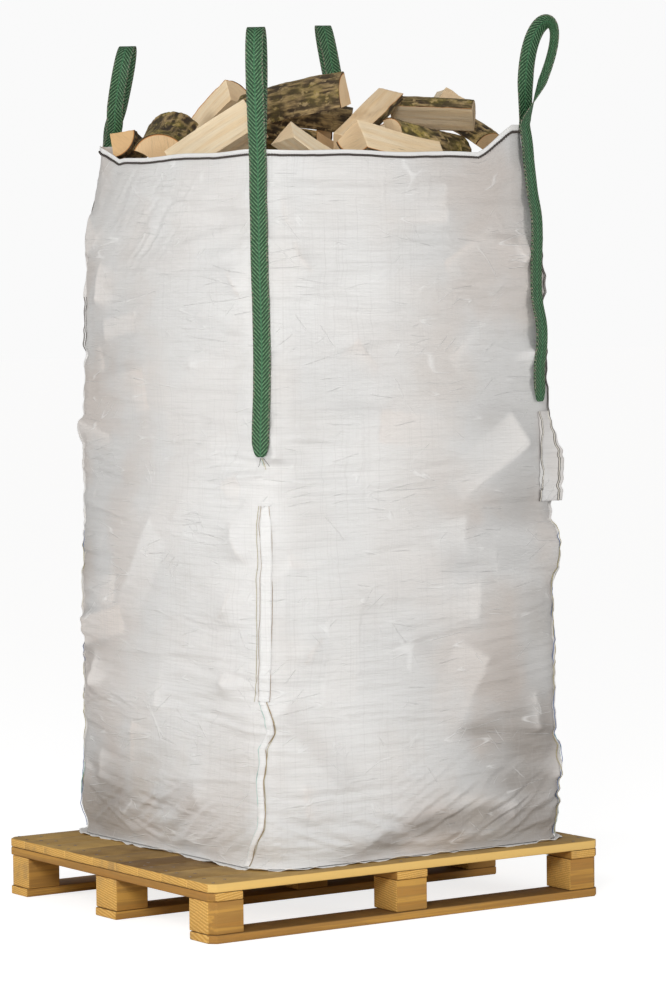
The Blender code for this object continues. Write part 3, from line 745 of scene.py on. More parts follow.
cloth = {
    "across": 3.0,  # pull round the bag against pull up it
    "rounds": 260,
    "hurry": 1.75,  # how far each round goes past its goal
    "search": (0.06, -0.10),  # where logs are looked for, from outside to inside the plain shape
    "start": -0.012,
    # how far in it may sink, by quarter turns away from a corner
    "deepest": ((0.0, -0.008), (0.12, -0.014), (0.30, -0.036), (0.50, -0.036)),
    "seed": 17,
    # length and width of a fold in cells, direction, size
    "folds": (
        (22, 2.2, 0.00, 0.0022),
        (24, 1.9, 0.14, 0.0018),
        (24, 1.9, -0.12, 0.0018),
        (40, 4.5, 0.05, 0.0036),
        (34, 4.0, -0.10, 0.0032),
    ),
    # where it hangs in shadow, painted as shade: turn, share, reach both ways, how much shade
    "hollows": (
        (0.27, 0.008, 0.07, 0.012, 0.80),
        (0.37, 0.022, 0.07, 0.015, 1.30),
        (0.50, 0.042, 0.09, 0.015, 1.20),
        (0.66, 0.047, 0.10, 0.014, 0.90),
        (0.86, 0.036, 0.10, 0.012, 0.75),
        (0.68, 0.172, 0.07, 0.010, 0.70),
        (0.90, 0.150, 0.08, 0.022, 0.65),
        (0.86, 0.092, 0.10, 0.014, 0.55),
        (0.80, 0.190, 0.20, 0.110, 0.40),
        (0.92, 0.330, 0.08, 0.045, 0.40),
        (0.85, 0.500, 0.14, 0.045, 0.35),
        (0.62, 0.420, 0.06, 0.018, 0.35),
        (0.50, 0.300, 0.05, 0.016, 0.35),
        (0.30, 0.640, 0.10, 0.014, 0.30),
        (0.75, 0.620, 0.10, 0.030, 0.30),
        (3.20, 0.060, 0.18, 0.050, 0.55),
        (3.05, 0.420, 0.10, 0.060, 0.30),
        (3.10, 0.300, 0.10, 0.040, 0.35),
        (1.45, 0.060, 0.25, 0.030, 0.60),
        (2.40, 0.070, 0.25, 0.035, 0.60),
    ),
    # sharp creases in the finish: scale both ways, direction, how rare
    "creases": (
        ((2.6, 26), 0.08, 0.55),
        ((3.0, 22), -0.70, 0.60),
        ((3.0, 20), 0.85, 0.61),
        ((2.4, 24), -0.16, 0.56),
    ),
    # long folds: from and to (turn, share of the height), how high, how wide
    "tucks": (
        (3.07, 0.488, 3.39, 0.475, 0.0040, 0.014),
        (3.34, 0.493, 3.94, 0.471, 0.0030, 0.010),
        (3.44, 0.469, 3.84, 0.447, 0.0030, 0.008),
        (3.22, 0.469, 3.62, 0.512, 0.0030, 0.010),
        (3.05, 0.364, 3.21, 0.358, 0.0040, 0.012),
        (3.23, 0.284, 3.96, 0.289, 0.0035, 0.016),
        (3.05, 0.191, 3.24, 0.217, 0.0040, 0.012),
        (3.24, 0.217, 3.39, 0.201, 0.0040, 0.012),
        (3.39, 0.201, 4.01, 0.221, 0.0040, 0.014),
        (3.18, 0.155, 3.35, 0.143, 0.0030, 0.012),
        (3.36, 0.096, 3.94, 0.126, 0.0040, 0.020),
        (3.28, 0.061, 3.59, 0.067, 0.0040, 0.012),
        (3.07, 0.084, 3.38, 0.008, 0.0050, 0.016),
        (3.14, 0.063, 3.57, 0.006, 0.0040, 0.012),
        (3.04, 0.587, 3.28, 0.572, 0.0030, 0.012),
        (3.64, 0.966, 3.51, 0.915, 0.0020, 0.006),
        (3.70, 0.973, 3.60, 0.928, 0.0020, 0.006),
        (3.45, 0.794, 3.70, 0.804, 0.0020, 0.010),
        (3.10, 0.721, 3.34, 0.704, 0.0025, 0.012),
        (3.56, 0.594, 3.90, 0.609, 0.0020, 0.009),
        (0.02, 0.599, 0.32, 0.598, 0.0020, 0.010),
        (0.40, 0.498, 0.93, 0.504, 0.0040, 0.016),
        (0.62, 0.521, 0.91, 0.505, 0.0040, 0.020),
        (0.02, 0.208, 0.49, 0.198, 0.0030, 0.012),
        (0.06, 0.158, 0.29, 0.156, 0.0025, 0.012),
        (0.00, 0.130, 0.29, 0.129, 0.0025, 0.012),
        (0.44, 0.097, 0.95, 0.125, 0.0040, 0.016),
        (0.38, 0.333, 0.48, 0.333, 0.0040, 0.010),
        (0.82, 0.330, 0.94, 0.351, 0.0040, 0.020),
        (0.65, 0.182, 0.95, 0.211, 0.0040, 0.020),
        (0.26, 0.011, 0.40, 0.044, 0.0050, 0.026),
        (0.40, 0.044, 0.62, 0.057, 0.0060, 0.026),
        (0.45, 0.010, 0.73, 0.014, 0.0050, 0.020),
        (0.73, 0.014, 0.97, 0.031, 0.0050, 0.020),
        (0.56, 0.018, 0.67, 0.051, 0.0035, 0.008),
        (0.62, 0.024, 0.75, 0.051, 0.0035, 0.008),
        (0.69, 0.022, 0.83, 0.045, 0.0035, 0.008),
        (0.40, 0.925, 0.40, 0.987, 0.0025, 0.005),
        (0.55, 0.926, 0.56, 0.985, 0.0025, 0.005),
        (0.58, 0.953, 0.61, 0.996, 0.0030, 0.008),
        (0.34, 0.809, 0.45, 0.839, 0.0020, 0.005),
        (0.63, 0.788, 0.74, 0.832, 0.0020, 0.005),
        (0.78, 0.793, 0.83, 0.818, 0.0020, 0.005),
        (0.64, 0.849, 0.66, 0.819, 0.0020, 0.005),
        (0.57, 0.794, 0.58, 0.829, 0.0020, 0.005),
        (0.44, 0.687, 0.52, 0.692, 0.0030, 0.006),
        (0.79, 0.913, 0.82, 0.886, 0.0020, 0.005),
        (0.59, 0.900, 0.63, 0.869, 0.0020, 0.006),
        (0.57, 0.865, 0.67, 0.860, 0.0025, 0.012),
        (0.59, 0.741, 0.87, 0.740, 0.0030, 0.010),
        (0.14, 0.949, 0.26, 0.955, 0.0020, 0.012),
        (0.19, 0.719, 0.34, 0.729, 0.0020, 0.010),
        (0.05, 0.654, 0.24, 0.657, 0.0015, 0.008),
        (0.05, 0.557, 0.25, 0.559, 0.0015, 0.008),
        (0.05, 0.432, 0.29, 0.432, 0.0015, 0.008),
        (0.06, 0.376, 0.27, 0.374, 0.0015, 0.008),
    ),
    # bunches of small folds: turn, share of the height, reach both ways, direction, size
    "gathers": (
        (0.10, 0.560, 0.30, 0.075, 0.0, 0.0030),
        (-0.12, 0.560, 0.22, 0.080, 0.0, 0.0028),
        (0.72, 0.055, 0.28, 0.060, 0.45, 0.0060),
        (0.30, 0.045, 0.25, 0.050, -0.35, 0.0040),
        (3.55, 0.050, 0.35, 0.045, 0.5, 0.0045),
        (3.35, 0.930, 0.26, 0.070, 0.8, 0.0026),
        (1.50, 0.050, 0.40, 0.050, 0.4, 0.0050),
        (2.40, 0.060, 0.40, 0.050, -0.4, 0.0050),
        (2.95, 0.300, 0.20, 0.120, 0.1, 0.0030),
        (1.02, 0.480, 0.20, 0.140, -0.1, 0.0030),
    ),
}


def settleCloth(heap):
    # lets a taut skin down on the logs, as offsets from the plain shape
    wide, tall = 4 * bag["columns"], bag["rows"]
    turn = (np.arange(wide) + 0.5) / bag["columns"]
    share = np.linspace(0, 1, tall + 1)
    # how far out the outermost log is, and which of its faces shows
    outer, inner = cloth["search"]
    start = clothPlace(turn[None, :], share[:, None], outer)
    end = clothPlace(turn[None, :], share[:, None], inner)
    logs = np.full((tall + 1, wide), inner)
    skin = np.full((tall + 1, wide), -1)
    number = np.full((tall + 1, wide), -1)
    for i, j in np.ndindex(tall + 1, wide):
        toward = Vector(end[i, j] - start[i, j])
        _, _, face, away = heap.tree.ray_cast(Vector(start[i, j]), toward, outer - inner)
        if face is not None:
            logs[i, j] = outer - away
            skin[i, j], number[i, j] = heap.skin[face], heap.log[face]
    # the pull inwards where it bends round a corner
    half, radius = np.moveaxis(between(bag["profile"], share)[:, None], -1, 0)
    arc, length = math.pi * radius / 4, 2 * (half - radius)
    run = (turn % 1)[None, :] * (length + 2 * arc)
    bent = ((run < arc) | (run > arc + length)) / radius
    step = 4 * bag["widest"] / wide
    pull = step * step * bent * cloth["across"]
    up = (step / (bag["height"] / tall)) ** 2
    total = 2 * cloth["across"] + 2 * up
    floor = np.maximum(logs, between(cloth["deepest"], np.abs(turn - np.round(turn)))[:, 0])
    floor[0] = floor[-1] = 0.0
    skinOut = np.maximum(floor, cloth["start"])
    checker = (np.add.outer(np.arange(tall + 1), np.arange(wide)) % 2).astype(bool)
    for _ in range(cloth["rounds"]):
        for black in (False, True):
            near = cloth["across"] * (np.roll(skinOut, 1, 1) + np.roll(skinOut, -1, 1))
            near[1:-1] += up * (skinOut[:-2] + skinOut[2:])
            settled = skinOut + cloth["hurry"] * ((near - pull) / total - skinOut)
            mask = checker == black
            mask[0] = mask[-1] = False
            skinOut[mask] = np.maximum(settled, floor)[mask]
    return turn, share, skinOut, logs, skin, number


def blurred(field, across, up, turned=0.0):
    # smooths a field that closes round the bag; across and up are in cells
    fz = np.fft.fftfreq(field.shape[0])[:, None] * 2 * math.pi
    fu = np.fft.fftfreq(field.shape[1])[None, :] * 2 * math.pi
    c, s = math.cos(turned), math.sin(turned)
    along, cross = fu * c + fz * s, -fu * s + fz * c
    keep = np.exp(-0.5 * ((along * across) ** 2 + (cross * up) ** 2))
    return np.real(np.fft.ifft2(np.fft.fft2(field) * keep))


def unitNoise(draw, shape, across, up, turned=0.0):
    field = blurred(draw.standard_normal(shape), across, up, turned)
    return (field - field.mean()) / field.std()


def nearSpot(turn, share, at, up, reach, rise):
    # 1 at a spot of the cloth, fading to 0 within its reach both ways
    aside, above = offBy(turn, at) / reach, (share - up) / rise
    return np.exp(-(aside**2)[None, :] - (above**2)[:, None])


def wrinkles(turn, share, gap):
    # small folds that run round the bag, more of them where no log holds the cloth
    draw = np.random.default_rng(cloth["seed"])
    loose = np.clip(gap / 0.006, 0, 1)
    total = np.zeros(gap.shape)
    for across, up, turned, size in cloth["folds"]:
        fold = unitNoise(draw, gap.shape, across, up, turned)
        where = np.clip(unitNoise(draw, gap.shape, 28, 24) * 0.7 + 0.25, 0, 1)
        total += size * where * (0.35 + 0.65 * loose) * (1.0 - np.sqrt(fold**2 + 0.03) * 1.1)
    for at, up, reach, rise, turned, size in cloth["gathers"]:
        near = nearSpot(turn, share, at, up, reach, rise)
        fold = unitNoise(draw, gap.shape, 18, 1.9, turned)
        total += size * near * (1.0 - np.sqrt(fold**2 + 0.02) * 1.2)
    # tucks: steep below, easy above; the back has its own, as in a mirror
    x = np.broadcast_to(turn[None, :] * bag["run"], gap.shape)
    y = np.broadcast_to(share[:, None] * bag["height"], gap.shape)
    around = 4 * bag["run"]
    for x0, y0, x1, y1, size, wide in cloth["tucks"]:
        for first, last in (((x0, y0), (x1, y1)), ((2 - x1, y1 * 0.97), (2 - x0, y0 * 0.97))):
            ax, ay = first[0] * bag["run"], first[1] * bag["height"]
            dx, dy = last[0] * bag["run"] - ax, last[1] * bag["height"] - ay
            length = math.hypot(dx, dy)
            dx, dy = dx / length, dy / length
            px = (x - ax + around / 2) % around - around / 2
            py = y - ay
            along = (px * dx + py * dy) / length
            cross = py * dx - px * dy + 0.004 * np.sin(along * 5.0 + size * 4000)
            near = (np.abs(along - 0.5) < 0.5) & (np.abs(cross) < wide * 4)
            along, cross = np.clip(along[near], 0, 1), cross[near]
            fall = np.where(cross > 0, np.exp(-cross / wide), np.exp(cross / (wide * 0.28)))
            total[near] += size * fall * np.sqrt(4 * along * (1 - along))
    return total


def wovenTapes(u, v):
    # tapes that pass over and under each other
    across = math.pi / bag["tapeWidth"]
    return (u * across).sine().size() * (v * across).sine().size()


def clothFinish():
    weave = Finish("wovenCloth", Roughness=0.5, Specular_IOR_Level=0.35)
    flat = weave.uv()
    u, v, _ = weave.parts(flat)
    warm, paintedShadeAmount = weave.value("warmth"), weave.value("gap")
    # the wood shows through where it touches; elsewhere the painted shade from the gap attribute greys
    # the cloth
    tint = weave.noise(flat, 3.2, 3, 0.5)
    white = weave.mix(weave.noise(flat, 5.0, 4), (0.870, 0.865, 0.852), (0.830, 0.822, 0.806))
    # colour of the painted shade
    paintedShade = weave.mix(tint.ramp(0.40, 0.60), (0.565, 0.558, 0.548), (0.545, 0.490, 0.450))
    white = weave.mix(paintedShadeAmount.least(1.1) * 0.85, white, paintedShade)
    # painted deep shadow where the painted shade runs high
    white = weave.mix(paintedShadeAmount.ramp(0.95, 1.80) * 0.80, white, (0.300, 0.268, 0.240))
    white = weave.mix(warm * 0.42, white, (0.830, 0.700, 0.610))
    # uneven tapes: faint streaks both ways
    level = weave.noise(weave.stretch(flat, (2.6, 210, 1)), 1.0, 3, 0.7)
    upright = weave.noise(weave.stretch(flat, (170, 2.4, 1)), 1.0, 3, 0.7)
    white = weave.mix(level.ramp(0.46, 0.74) * 0.30, white, (0.52, 0.51, 0.49))
    white = weave.mix(upright.ramp(0.48, 0.76) * 0.26, white, (0.54, 0.52, 0.50))
    # stains, most of them low down
    stain = weave.noise(flat, 2.6, 6, 0.62)
    low = 1 - v.ramp(0.0, 0.30)
    white = weave.mix(stain.ramp(0.48, 0.75) * (low * 0.5 + 0.16), white, (0.50, 0.44, 0.37))
    # short sharp creases, with a painted highlight along their tops
    creaseAndHighlight = 0.0
    for k, (scale, turned, shown) in enumerate(cloth["creases"]):
        lying = weave.stretch(flat, turn=(0, 0, turned))
        lying = weave.stretch(lying, (*scale, 1), move=(k * 3.1, 0, 0))
        bent = (weave.noise(lying, 1.0, 0.0) - 0.5).size().ramp(0.0, 0.020, 1.0, 0.0)
        here = weave.noise(weave.stretch(flat, move=(0, k * 5.3, 0)), 8.0, 1)
        creaseAndHighlight = bent * here.ramp(shown, shown + 0.08) + creaseAndHighlight
    creaseAndHighlight = creaseAndHighlight.least(1.0)
    # painted highlight along the creases
    white = weave.mix(creaseAndHighlight * 0.40, white, (0.910, 0.905, 0.890))
    fine = weave.noise(weave.stretch(flat, (22, 130, 1)), 1.0, 5, 0.62, 0.3)
    relief = weave.bump(wovenTapes(u, v), 0.30, 0.0006)
    relief = weave.bump(fine, 0.55, 0.0050, relief)
    relief = weave.bump(level * 0.7 + upright * 0.3, 0.35, 0.0012, relief)
    relief = weave.bump(creaseAndHighlight, 0.8, 0.0014, relief)
    return weave.finish(white, level * 0.16 + 0.40, relief)


def clothTonesAndShade(turn, share, gap, skin, number, count):
    # how warm the wood makes the cloth where it touches, and how much painted shade the cloth has
    # elsewhere
    draw = np.random.default_rng(3)
    touch = np.exp(-gap / 0.0050) * np.clip((0.950 - share) / 0.04, 0, 1)[:, None]
    # painted shade: least by the front and back seams, more towards the other two corners where the
    # cloth turns from the light, and near the deck
    edge = eased(np.clip((np.abs((turn + 1) % 2 - 1) - 0.30) / 0.60, 0, 1))[None, :]
    low = np.clip(1 - share / 0.22, 0, 1)[:, None]
    tone = draw.uniform(0.0, 1.0, count + 1)[number] ** 1.4
    warmth = touch * np.where(skin == 0, tone, np.where(skin == 2, 0.8 * tone, 0.0))
    shade = draw.uniform(0.0, 1.0, count + 1)[number]
    paintedShade = 0.06 + 0.26 * edge + low * (0.22 + 0.30 * edge)
    # painted shade in the hollows between the logs; bark that touches shows through darker, and each
    # log adds a random tone
    paintedShade = paintedShade + (1 - np.exp(-gap / 0.010)) * (0.20 + 0.45 * edge)
    paintedShade = paintedShade + touch * (skin == 1) * (0.30 + 0.35 * edge)
    paintedShade = paintedShade + 0.22 * shade * (number >= 0) * np.exp(-gap / 0.020)
    paintedShade = paintedShade + 0.07 * unitNoise(draw, gap.shape, 30, 18)
    # painted shadows at the listed hollows
    for *spot, amount in cloth["hollows"]:
        paintedShade = paintedShade + amount * nearSpot(turn, share, *spot)
    return blurred(warmth, 0.8, 0.8), np.clip(blurred(paintedShade, 1.3, 1.3), 0, 2.0)


def makeCloth(heap):
    turn, share, skinOut, logs, skin, number = settleCloth(heap)
    gap = np.maximum(skinOut - logs, 0)
    edges = np.clip((1 - share) / 0.05, 0, 1) * np.clip(share / 0.02, 0, 1)
    shape = blurred(skinOut, 0.9, 0.9) + wrinkles(turn, share, gap) * edges[:, None]
    warmth, paintedShade = clothTonesAndShade(turn, share, gap, skin, number, heap.log[-1] + 1)
    finish = clothFinish()
    columns = bag["columns"]
    row, part = np.arange(len(share))[:, None], np.arange(columns + 1) / columns
    for side, name in enumerate(bag["sides"]):
        # a panel runs from corner seam to corner seam
        first, last = seamTurn(side, share)[:, None], seamTurn(side + 1, share)[:, None]
        turns = first + (last - first) * part
        at = (turns * columns - 0.5) % (4 * columns)
        left = np.floor(at).astype(int)
        past = at - left

        def sample(field):
            low, high = field[row, left % (4 * columns)], field[row, (left + 1) % (4 * columns)]
            return low * (1 - past) + high * past

        grid = clothPlace(turns, share[:, None], sample(shape))
        panel = gridPiece("clothPanel" + name, grid, finish)
        mapPoints(panel, turns * bag["flatWidth"] + side * 3.0, share[:, None] * bag["height"])
        paintPoints(panel, "warmth", sample(warmth))
        # the painted shade is stored in the gap attribute
        paintPoints(panel, "gap", sample(paintedShade))
        place(panel, "woven_polypropylene", "bag_panel_" + name.lower())
    print("cloth settled")
    return shape


def makePackedWood(heap):
    pale = Finish("packedWood", Roughness=0.8)
    grain = pale.noise(pale.stretch(pale.here(), (30, 30, 30)), 1.0, 4)
    colour = pale.mix(grain, (0.62, 0.42, 0.22), (0.78, 0.60, 0.38))
    finish = pale.finish(colour, None, pale.bump(grain, 0.4, 0.002))
    x, y = bag["middle"]
    inset = 0.965  # keeps it clear of the cloth
    mesh = bpy.data.meshes.new("packedFirewood")
    points = [(x + (p.x - x) * inset, y + (p.y - y) * inset, p.z) for p in heap.points]
    mesh.from_pydata(points, [], heap.faces)
    place(newPiece("packedFirewood", mesh, finish), "split_wood", "firewood_fill")


heap = fillWalls()
clothOut = makeCloth(heap)
makePackedWood(heap)


def clothAt(turn, share, out=0.0):
    # a point on the settled cloth, or out metres off it
    turn, share = np.broadcast_arrays(np.asarray(turn, float), np.asarray(share, float))
    tall, wide = clothOut.shape
    at = (turn * bag["columns"] - 0.5) % wide
    row = np.clip(share, 0, 1) * (tall - 1)
    j, i = np.floor(at).astype(int), np.minimum(np.floor(row).astype(int), tall - 2)
    fj, fi = at - j, row - i
    j, k = j % wide, (j + 1) % wide
    low = clothOut[i, j] * (1 - fj) + clothOut[i, k] * fj
    high = clothOut[i + 1, j] * (1 - fj) + clothOut[i + 1, k] * fj
    return clothPlace(turn, share, low * (1 - fi) + high * fi + out)


def smoothed(values, times):
    for _ in range(times):
        inner = (values[:-2] + 2 * values[1:-1] + values[2:]) / 4
        values = np.concatenate([values[:1], inner, values[-1:]])
    return values


def sweep(name, path, across, section, finish, closedPath=False):
    # carries a closed section, (aside, out) points, along a path; across points aside at each step
    path, across = np.asarray(path, float), np.asarray(across, float)
    if closedPath:
        run = unit(np.roll(path, -1, 0) - np.roll(path, 1, 0))
    else:
        run = unit(np.gradient(path, axis=0))
    across = unit(across - run * np.sum(across * run, axis=1)[:, None])
    out = np.cross(across, run)
    section = np.asarray(section, float)
    if section.ndim == 2:
        section = np.broadcast_to(section, (len(path), *section.shape))
    grid = path[:, None] + across[:, None] * section[..., :1] + out[:, None] * section[..., 1:]
    aside = section[..., 0]
    if closedPath:
        grid, aside = np.concatenate([grid, grid[:1]]), np.concatenate([aside, aside[:1]])
    piece = gridPiece(name, grid, finish, closedAcross=True)
    mapPoints(piece, aside, lengthAlong(grid[:, 0])[:, None])
    if closedPath:
        mergeDoubles(piece, 0.000001)
    else:
        closeEnds(piece, section.shape[1])
    return piece


def joined(name, pieces):
    only(pieces[0])
    for piece in pieces:
        piece.select_set(True)
    if len(pieces) > 1:
        bpy.ops.object.join()
    pieces[0].name = name
    return pieces[0]


loops = {
    "width": 0.044,
    "thick": 0.0026,
    # corner, how far along the cloth from it, height, turn of its plane (degrees), lean inwards and
    # to its left seen from outside, length of its tails, how far its faces turn (quarter turns), how
    # wide it opens
    "Front": (0, 0.0, 0.299, 4.0, (0.0, 0.0), 0.755, 0.0, 0.092),
    "Right": (1, -0.058, 0.266, 18.0, (-0.051, -0.033), 0.712, 0.55, 0.070),
    "Back": (2, 0.022, 0.320, 6.0, (0.03, -0.058), 0.755, 0.0, 0.092),
    "Left": (3, -0.094, 0.267, -39.0, (0.033, 0.040), 0.727, 0.0, 0.092),
    "cornerRound": 0.115,
    "twistOver": 0.11,  # height over which a loop turns
    "tailSteps": 150,
    "ringSteps": 170,
    "step": 0.0045,  # final spacing of the points along it
    "feel": 0.026,  # how far to each side a tail feels the cloth, in quarter turns
    "dark": (0.009, 0.047, 0.018),
    "green": (0.033, 0.122, 0.042),
    "light": (0.165, 0.330, 0.170),
    "twill": 0.0105,  # from one line of the weave to the next
    "ending": 0.034,  # length of the trimmed end of a tail
    "blunt": 0.35,  # width of that end as a share of the whole
}


def webbingFinish():
    web = Finish("greenWebbing", Roughness=0.55)
    u, v, _ = web.parts(web.uv())
    aside = u.size()
    # twill lines that meet in a V along the middle
    rib = math.pi * 2 / loops["twill"]
    lines = ((v - aside * 1.15) * rib).sine()
    cords = ((v + aside * 2.4) * rib * 0.5).sine()
    worn = web.noise(web.stretch(web.uv(), (110, 14, 1)), 1.0, 4, 0.6)
    fleck = web.noise(web.stretch(web.uv(), (700, 300, 1)), 1.0, 2, 0.6)
    uneven = web.noise(web.stretch(web.uv(), (190, 120, 1)), 1.0, 2, 0.6)
    green = web.mix(lines.ramp(-0.35, 0.15), loops["dark"], loops["green"])
    shown = uneven.ramp(0.35, 0.65) * 0.6 + fleck * 0.4
    green = web.mix(lines.ramp(0.0, 0.6) * shown, green, loops["light"])
    middle = aside.ramp(0.0012, 0.0030, 1.0, 0.0)
    green = web.mix(middle * 0.6, green, (0.050, 0.200, 0.085))
    # the edges are flecked with pale and dark threads
    edge = aside.ramp(0.0155, 0.0210)
    speck = web.noise(web.stretch(web.uv(), (240, 260, 1)), 1.0, 2, 0.6)
    green = web.mix(edge * speck.ramp(0.50, 0.58) * 0.75, green, (0.34, 0.27, 0.22))
    green = web.mix(edge * speck.ramp(0.36, 0.44, 1.0, 0.0) * 0.8, green, (0.012, 0.018, 0.014))
    green = web.mix(worn.ramp(0.5, 0.8) * 0.25, green, (0.10, 0.20, 0.12))
    relief = web.bump(lines * 0.8 + cords * 0.25, 0.85, 0.0013)
    return web.finish(green, fleck * 0.2 + 0.45, web.bump(fleck, 0.3, 0.0005, relief))


def loopPath(corner, away, height, twist, lean, tail, ribbon, wide):
    # middle line and sideways direction of the strap: up its outer tail, round the loop and down
    # its inner tail
    angle = math.radians(-135 + 90 * corner) + away / loops["cornerRound"]
    out = np.array((math.cos(angle), math.sin(angle), 0.0))
    along = np.array((-out[1], out[0], 0.0))
    middle = np.array((*bag["middle"], 0.0))
    thick = loops["thick"]

    def seamAt(share, aside=0.0):
        return clothAt(seamTurn(corner, share) + away / bag["run"] + aside, share)

    # the tails lie flat on whatever stands out most below them
    steps = loops["tailSteps"]
    rim = float(seamAt(1.0)[2])
    z = np.linspace(rim - tail, rim - 0.004, steps)
    share = (z - bag["bottom"]) / (rim - bag["bottom"])
    spots = np.stack([seamAt(share, d) for d in np.linspace(-loops["feel"], loops["feel"], 9)])
    face = np.max((spots - middle) @ out, axis=0)
    reach = 9
    padded = np.pad(face, reach, mode="edge")
    face = np.max([padded[k : k + steps] for k in range(2 * reach + 1)], axis=0)
    face = smoothed(face, 50) + 0.0015
    aside = smoothed((spots[4] - middle) @ along, 40)
    tailOut = np.stack([face + thick * 1.6, aside, z], axis=1)
    tailIn = np.stack([face + thick * 0.5, aside, z], axis=1)
    # the loop itself is shaped like a drop
    footOut = float(face[-1]) + thick
    turn = np.linspace(0.05, 2 * math.pi - 0.05, loops["ringSteps"])
    side = 1.30 * np.sin(turn) * np.abs(np.sin(turn / 2)) ** 1.5
    rise = (1 - np.cos(turn)) / 2
    ring = [footOut + side * wide / 2, np.full(turn.shape, aside[-1]), rim + rise * height]
    path = np.concatenate([tailOut, np.stack(ring, axis=1), tailIn[::-1]])
    # even steps, softened where the tails meet the loop
    length = lengthAlong(path)
    even = np.linspace(0, length[-1], int(length[-1] / loops["step"]))
    path = np.stack([smoothed(np.interp(even, length, path[:, k]), 6) for k in range(3)], axis=1)
    # it turns and leans more the higher it is
    up = np.maximum(0.0, path[:, 2] - rim)
    ease = eased(np.minimum(1.0, up / loops["twistOver"]))
    turned = math.radians(twist) * ease
    c, s = np.cos(turned), np.sin(turned)
    x = path[:, 0] - footOut
    outward = x * c + footOut - lean[0] * up / height
    sideways = x * s - lean[1] * up / height + path[:, 1]
    placed = middle + outward[:, None] * out + sideways[:, None] * along
    placed[:, 2] = path[:, 2]
    across = along[None] * c[:, None] - out[None] * s[:, None]
    if ribbon:
        # both legs turn their faces the way the loop faces
        flat = np.cross(unit(np.gradient(placed, axis=0)), across)
        quarter = math.pi / 2 * ribbon * np.minimum(1.0, up / loops["twistOver"])[:, None]
        across = across * np.cos(quarter) + flat * np.sin(quarter)
    return placed, across


def strapSection(width, thick):
    # flat with rounded, slightly thicker edges
    half, t = width / 2, thick / 2
    side = [(-half, 0.0), (-half * 0.985, t * 0.75), (-half * 0.93, t * 1.12), (-half * 0.80, t * 0.95)]
    side += [(-half * 0.4, t), (0.0, t * 0.86), (half * 0.4, t), (half * 0.80, t * 0.95)]
    side += [(half * 0.93, t * 1.12), (half * 0.985, t * 0.75), (half, 0.0)]
    return side + [(a, -b) for a, b in side[-2:0:-1]]


def makeLoops():
    finish = webbingFinish()
    flat = np.array(strapSection(loops["width"], loops["thick"]))
    for name in bag["sides"]:
        path, across = loopPath(*loops[name])
        # each tail is trimmed to a blunt point
        length = lengthAlong(path)
        end = np.minimum(length, length[-1] - length) / loops["ending"]
        section = np.repeat(flat[None], len(path), axis=0)
        section[..., 0] *= loops["blunt"] + (1 - loops["blunt"]) * np.sqrt(np.clip(end, 0, 1))[:, None]
        strap = sweep("liftingLoop" + name, path, across, section, finish)
        place(strap, "green_webbing", "lifting_loop_" + name.lower())
    print("lifting loops ready")


makeLoops()


hem = {
    "round": 3.7,  # length round the rim
    "band": 0.0090,  # the pale edge above the thread
    "inside": 0.085,  # how far the cloth is turned in
    # out from the cloth and down from the rim: the edge, from outside to inside
    "edge": (
        (0.0004, 0.0116), (0.0015, 0.0112), (0.0018, 0.0092), (0.0017, 0.0050),
        (0.0014, 0.0008), (0.0006, -0.0004), (-0.0008, -0.0004), (-0.0016, 0.0010),
    ),
    "thread": 0.0019,
    "threadStep": 0.0016,
    "threadDown": 0.0036,  # middle of the sewing below the band, and as far out from the cloth
    "twist": 0.016,  # length of one turn of the two strands
    "threadColour": (0.045, 0.034, 0.028),
}


def hemFinish():
    fold = Finish("hemCloth", Roughness=0.48)
    u, v, _ = fold.parts(fold.uv())
    rough = fold.noise(fold.here(), 60.0, 4, 0.6)
    white = fold.mix(rough, (0.86, 0.855, 0.84), (0.78, 0.77, 0.75))
    return fold.finish(white, None, fold.bump(rough + wovenTapes(u, v) * 0.3, 0.35, 0.0015))


def threadFinish(name, colour):
    thread = Finish(name, Roughness=0.6)
    u, v, _ = thread.parts(thread.uv())
    strand = ((v * 2600.0) + u * 900.0).sine()
    light = tuple(min(1.0, c * 2.2 + 0.02) for c in colour)
    colour = thread.mix(strand.ramp(0.2, 1.0) * 0.6, colour, light)
    return thread.finish(colour, None, thread.bump(strand, 0.4, 0.0004))


def tube(name, path, radius, finish, sides, closedPath=False):
    across = np.zeros((len(path), 3))
    run = np.gradient(np.asarray(path), axis=0)
    flat = np.abs(run[:, 2]) < np.linalg.norm(run, axis=1) * 0.9
    across[flat] = (0, 0, 1)
    across[~flat] = (0.7, -0.7, 0.0)
    angles = np.linspace(0, 2 * math.pi, sides, endpoint=False)
    ring = [(radius * math.cos(a), radius * math.sin(a)) for a in angles]
    return sweep(name, path, across, ring, finish, closedPath)


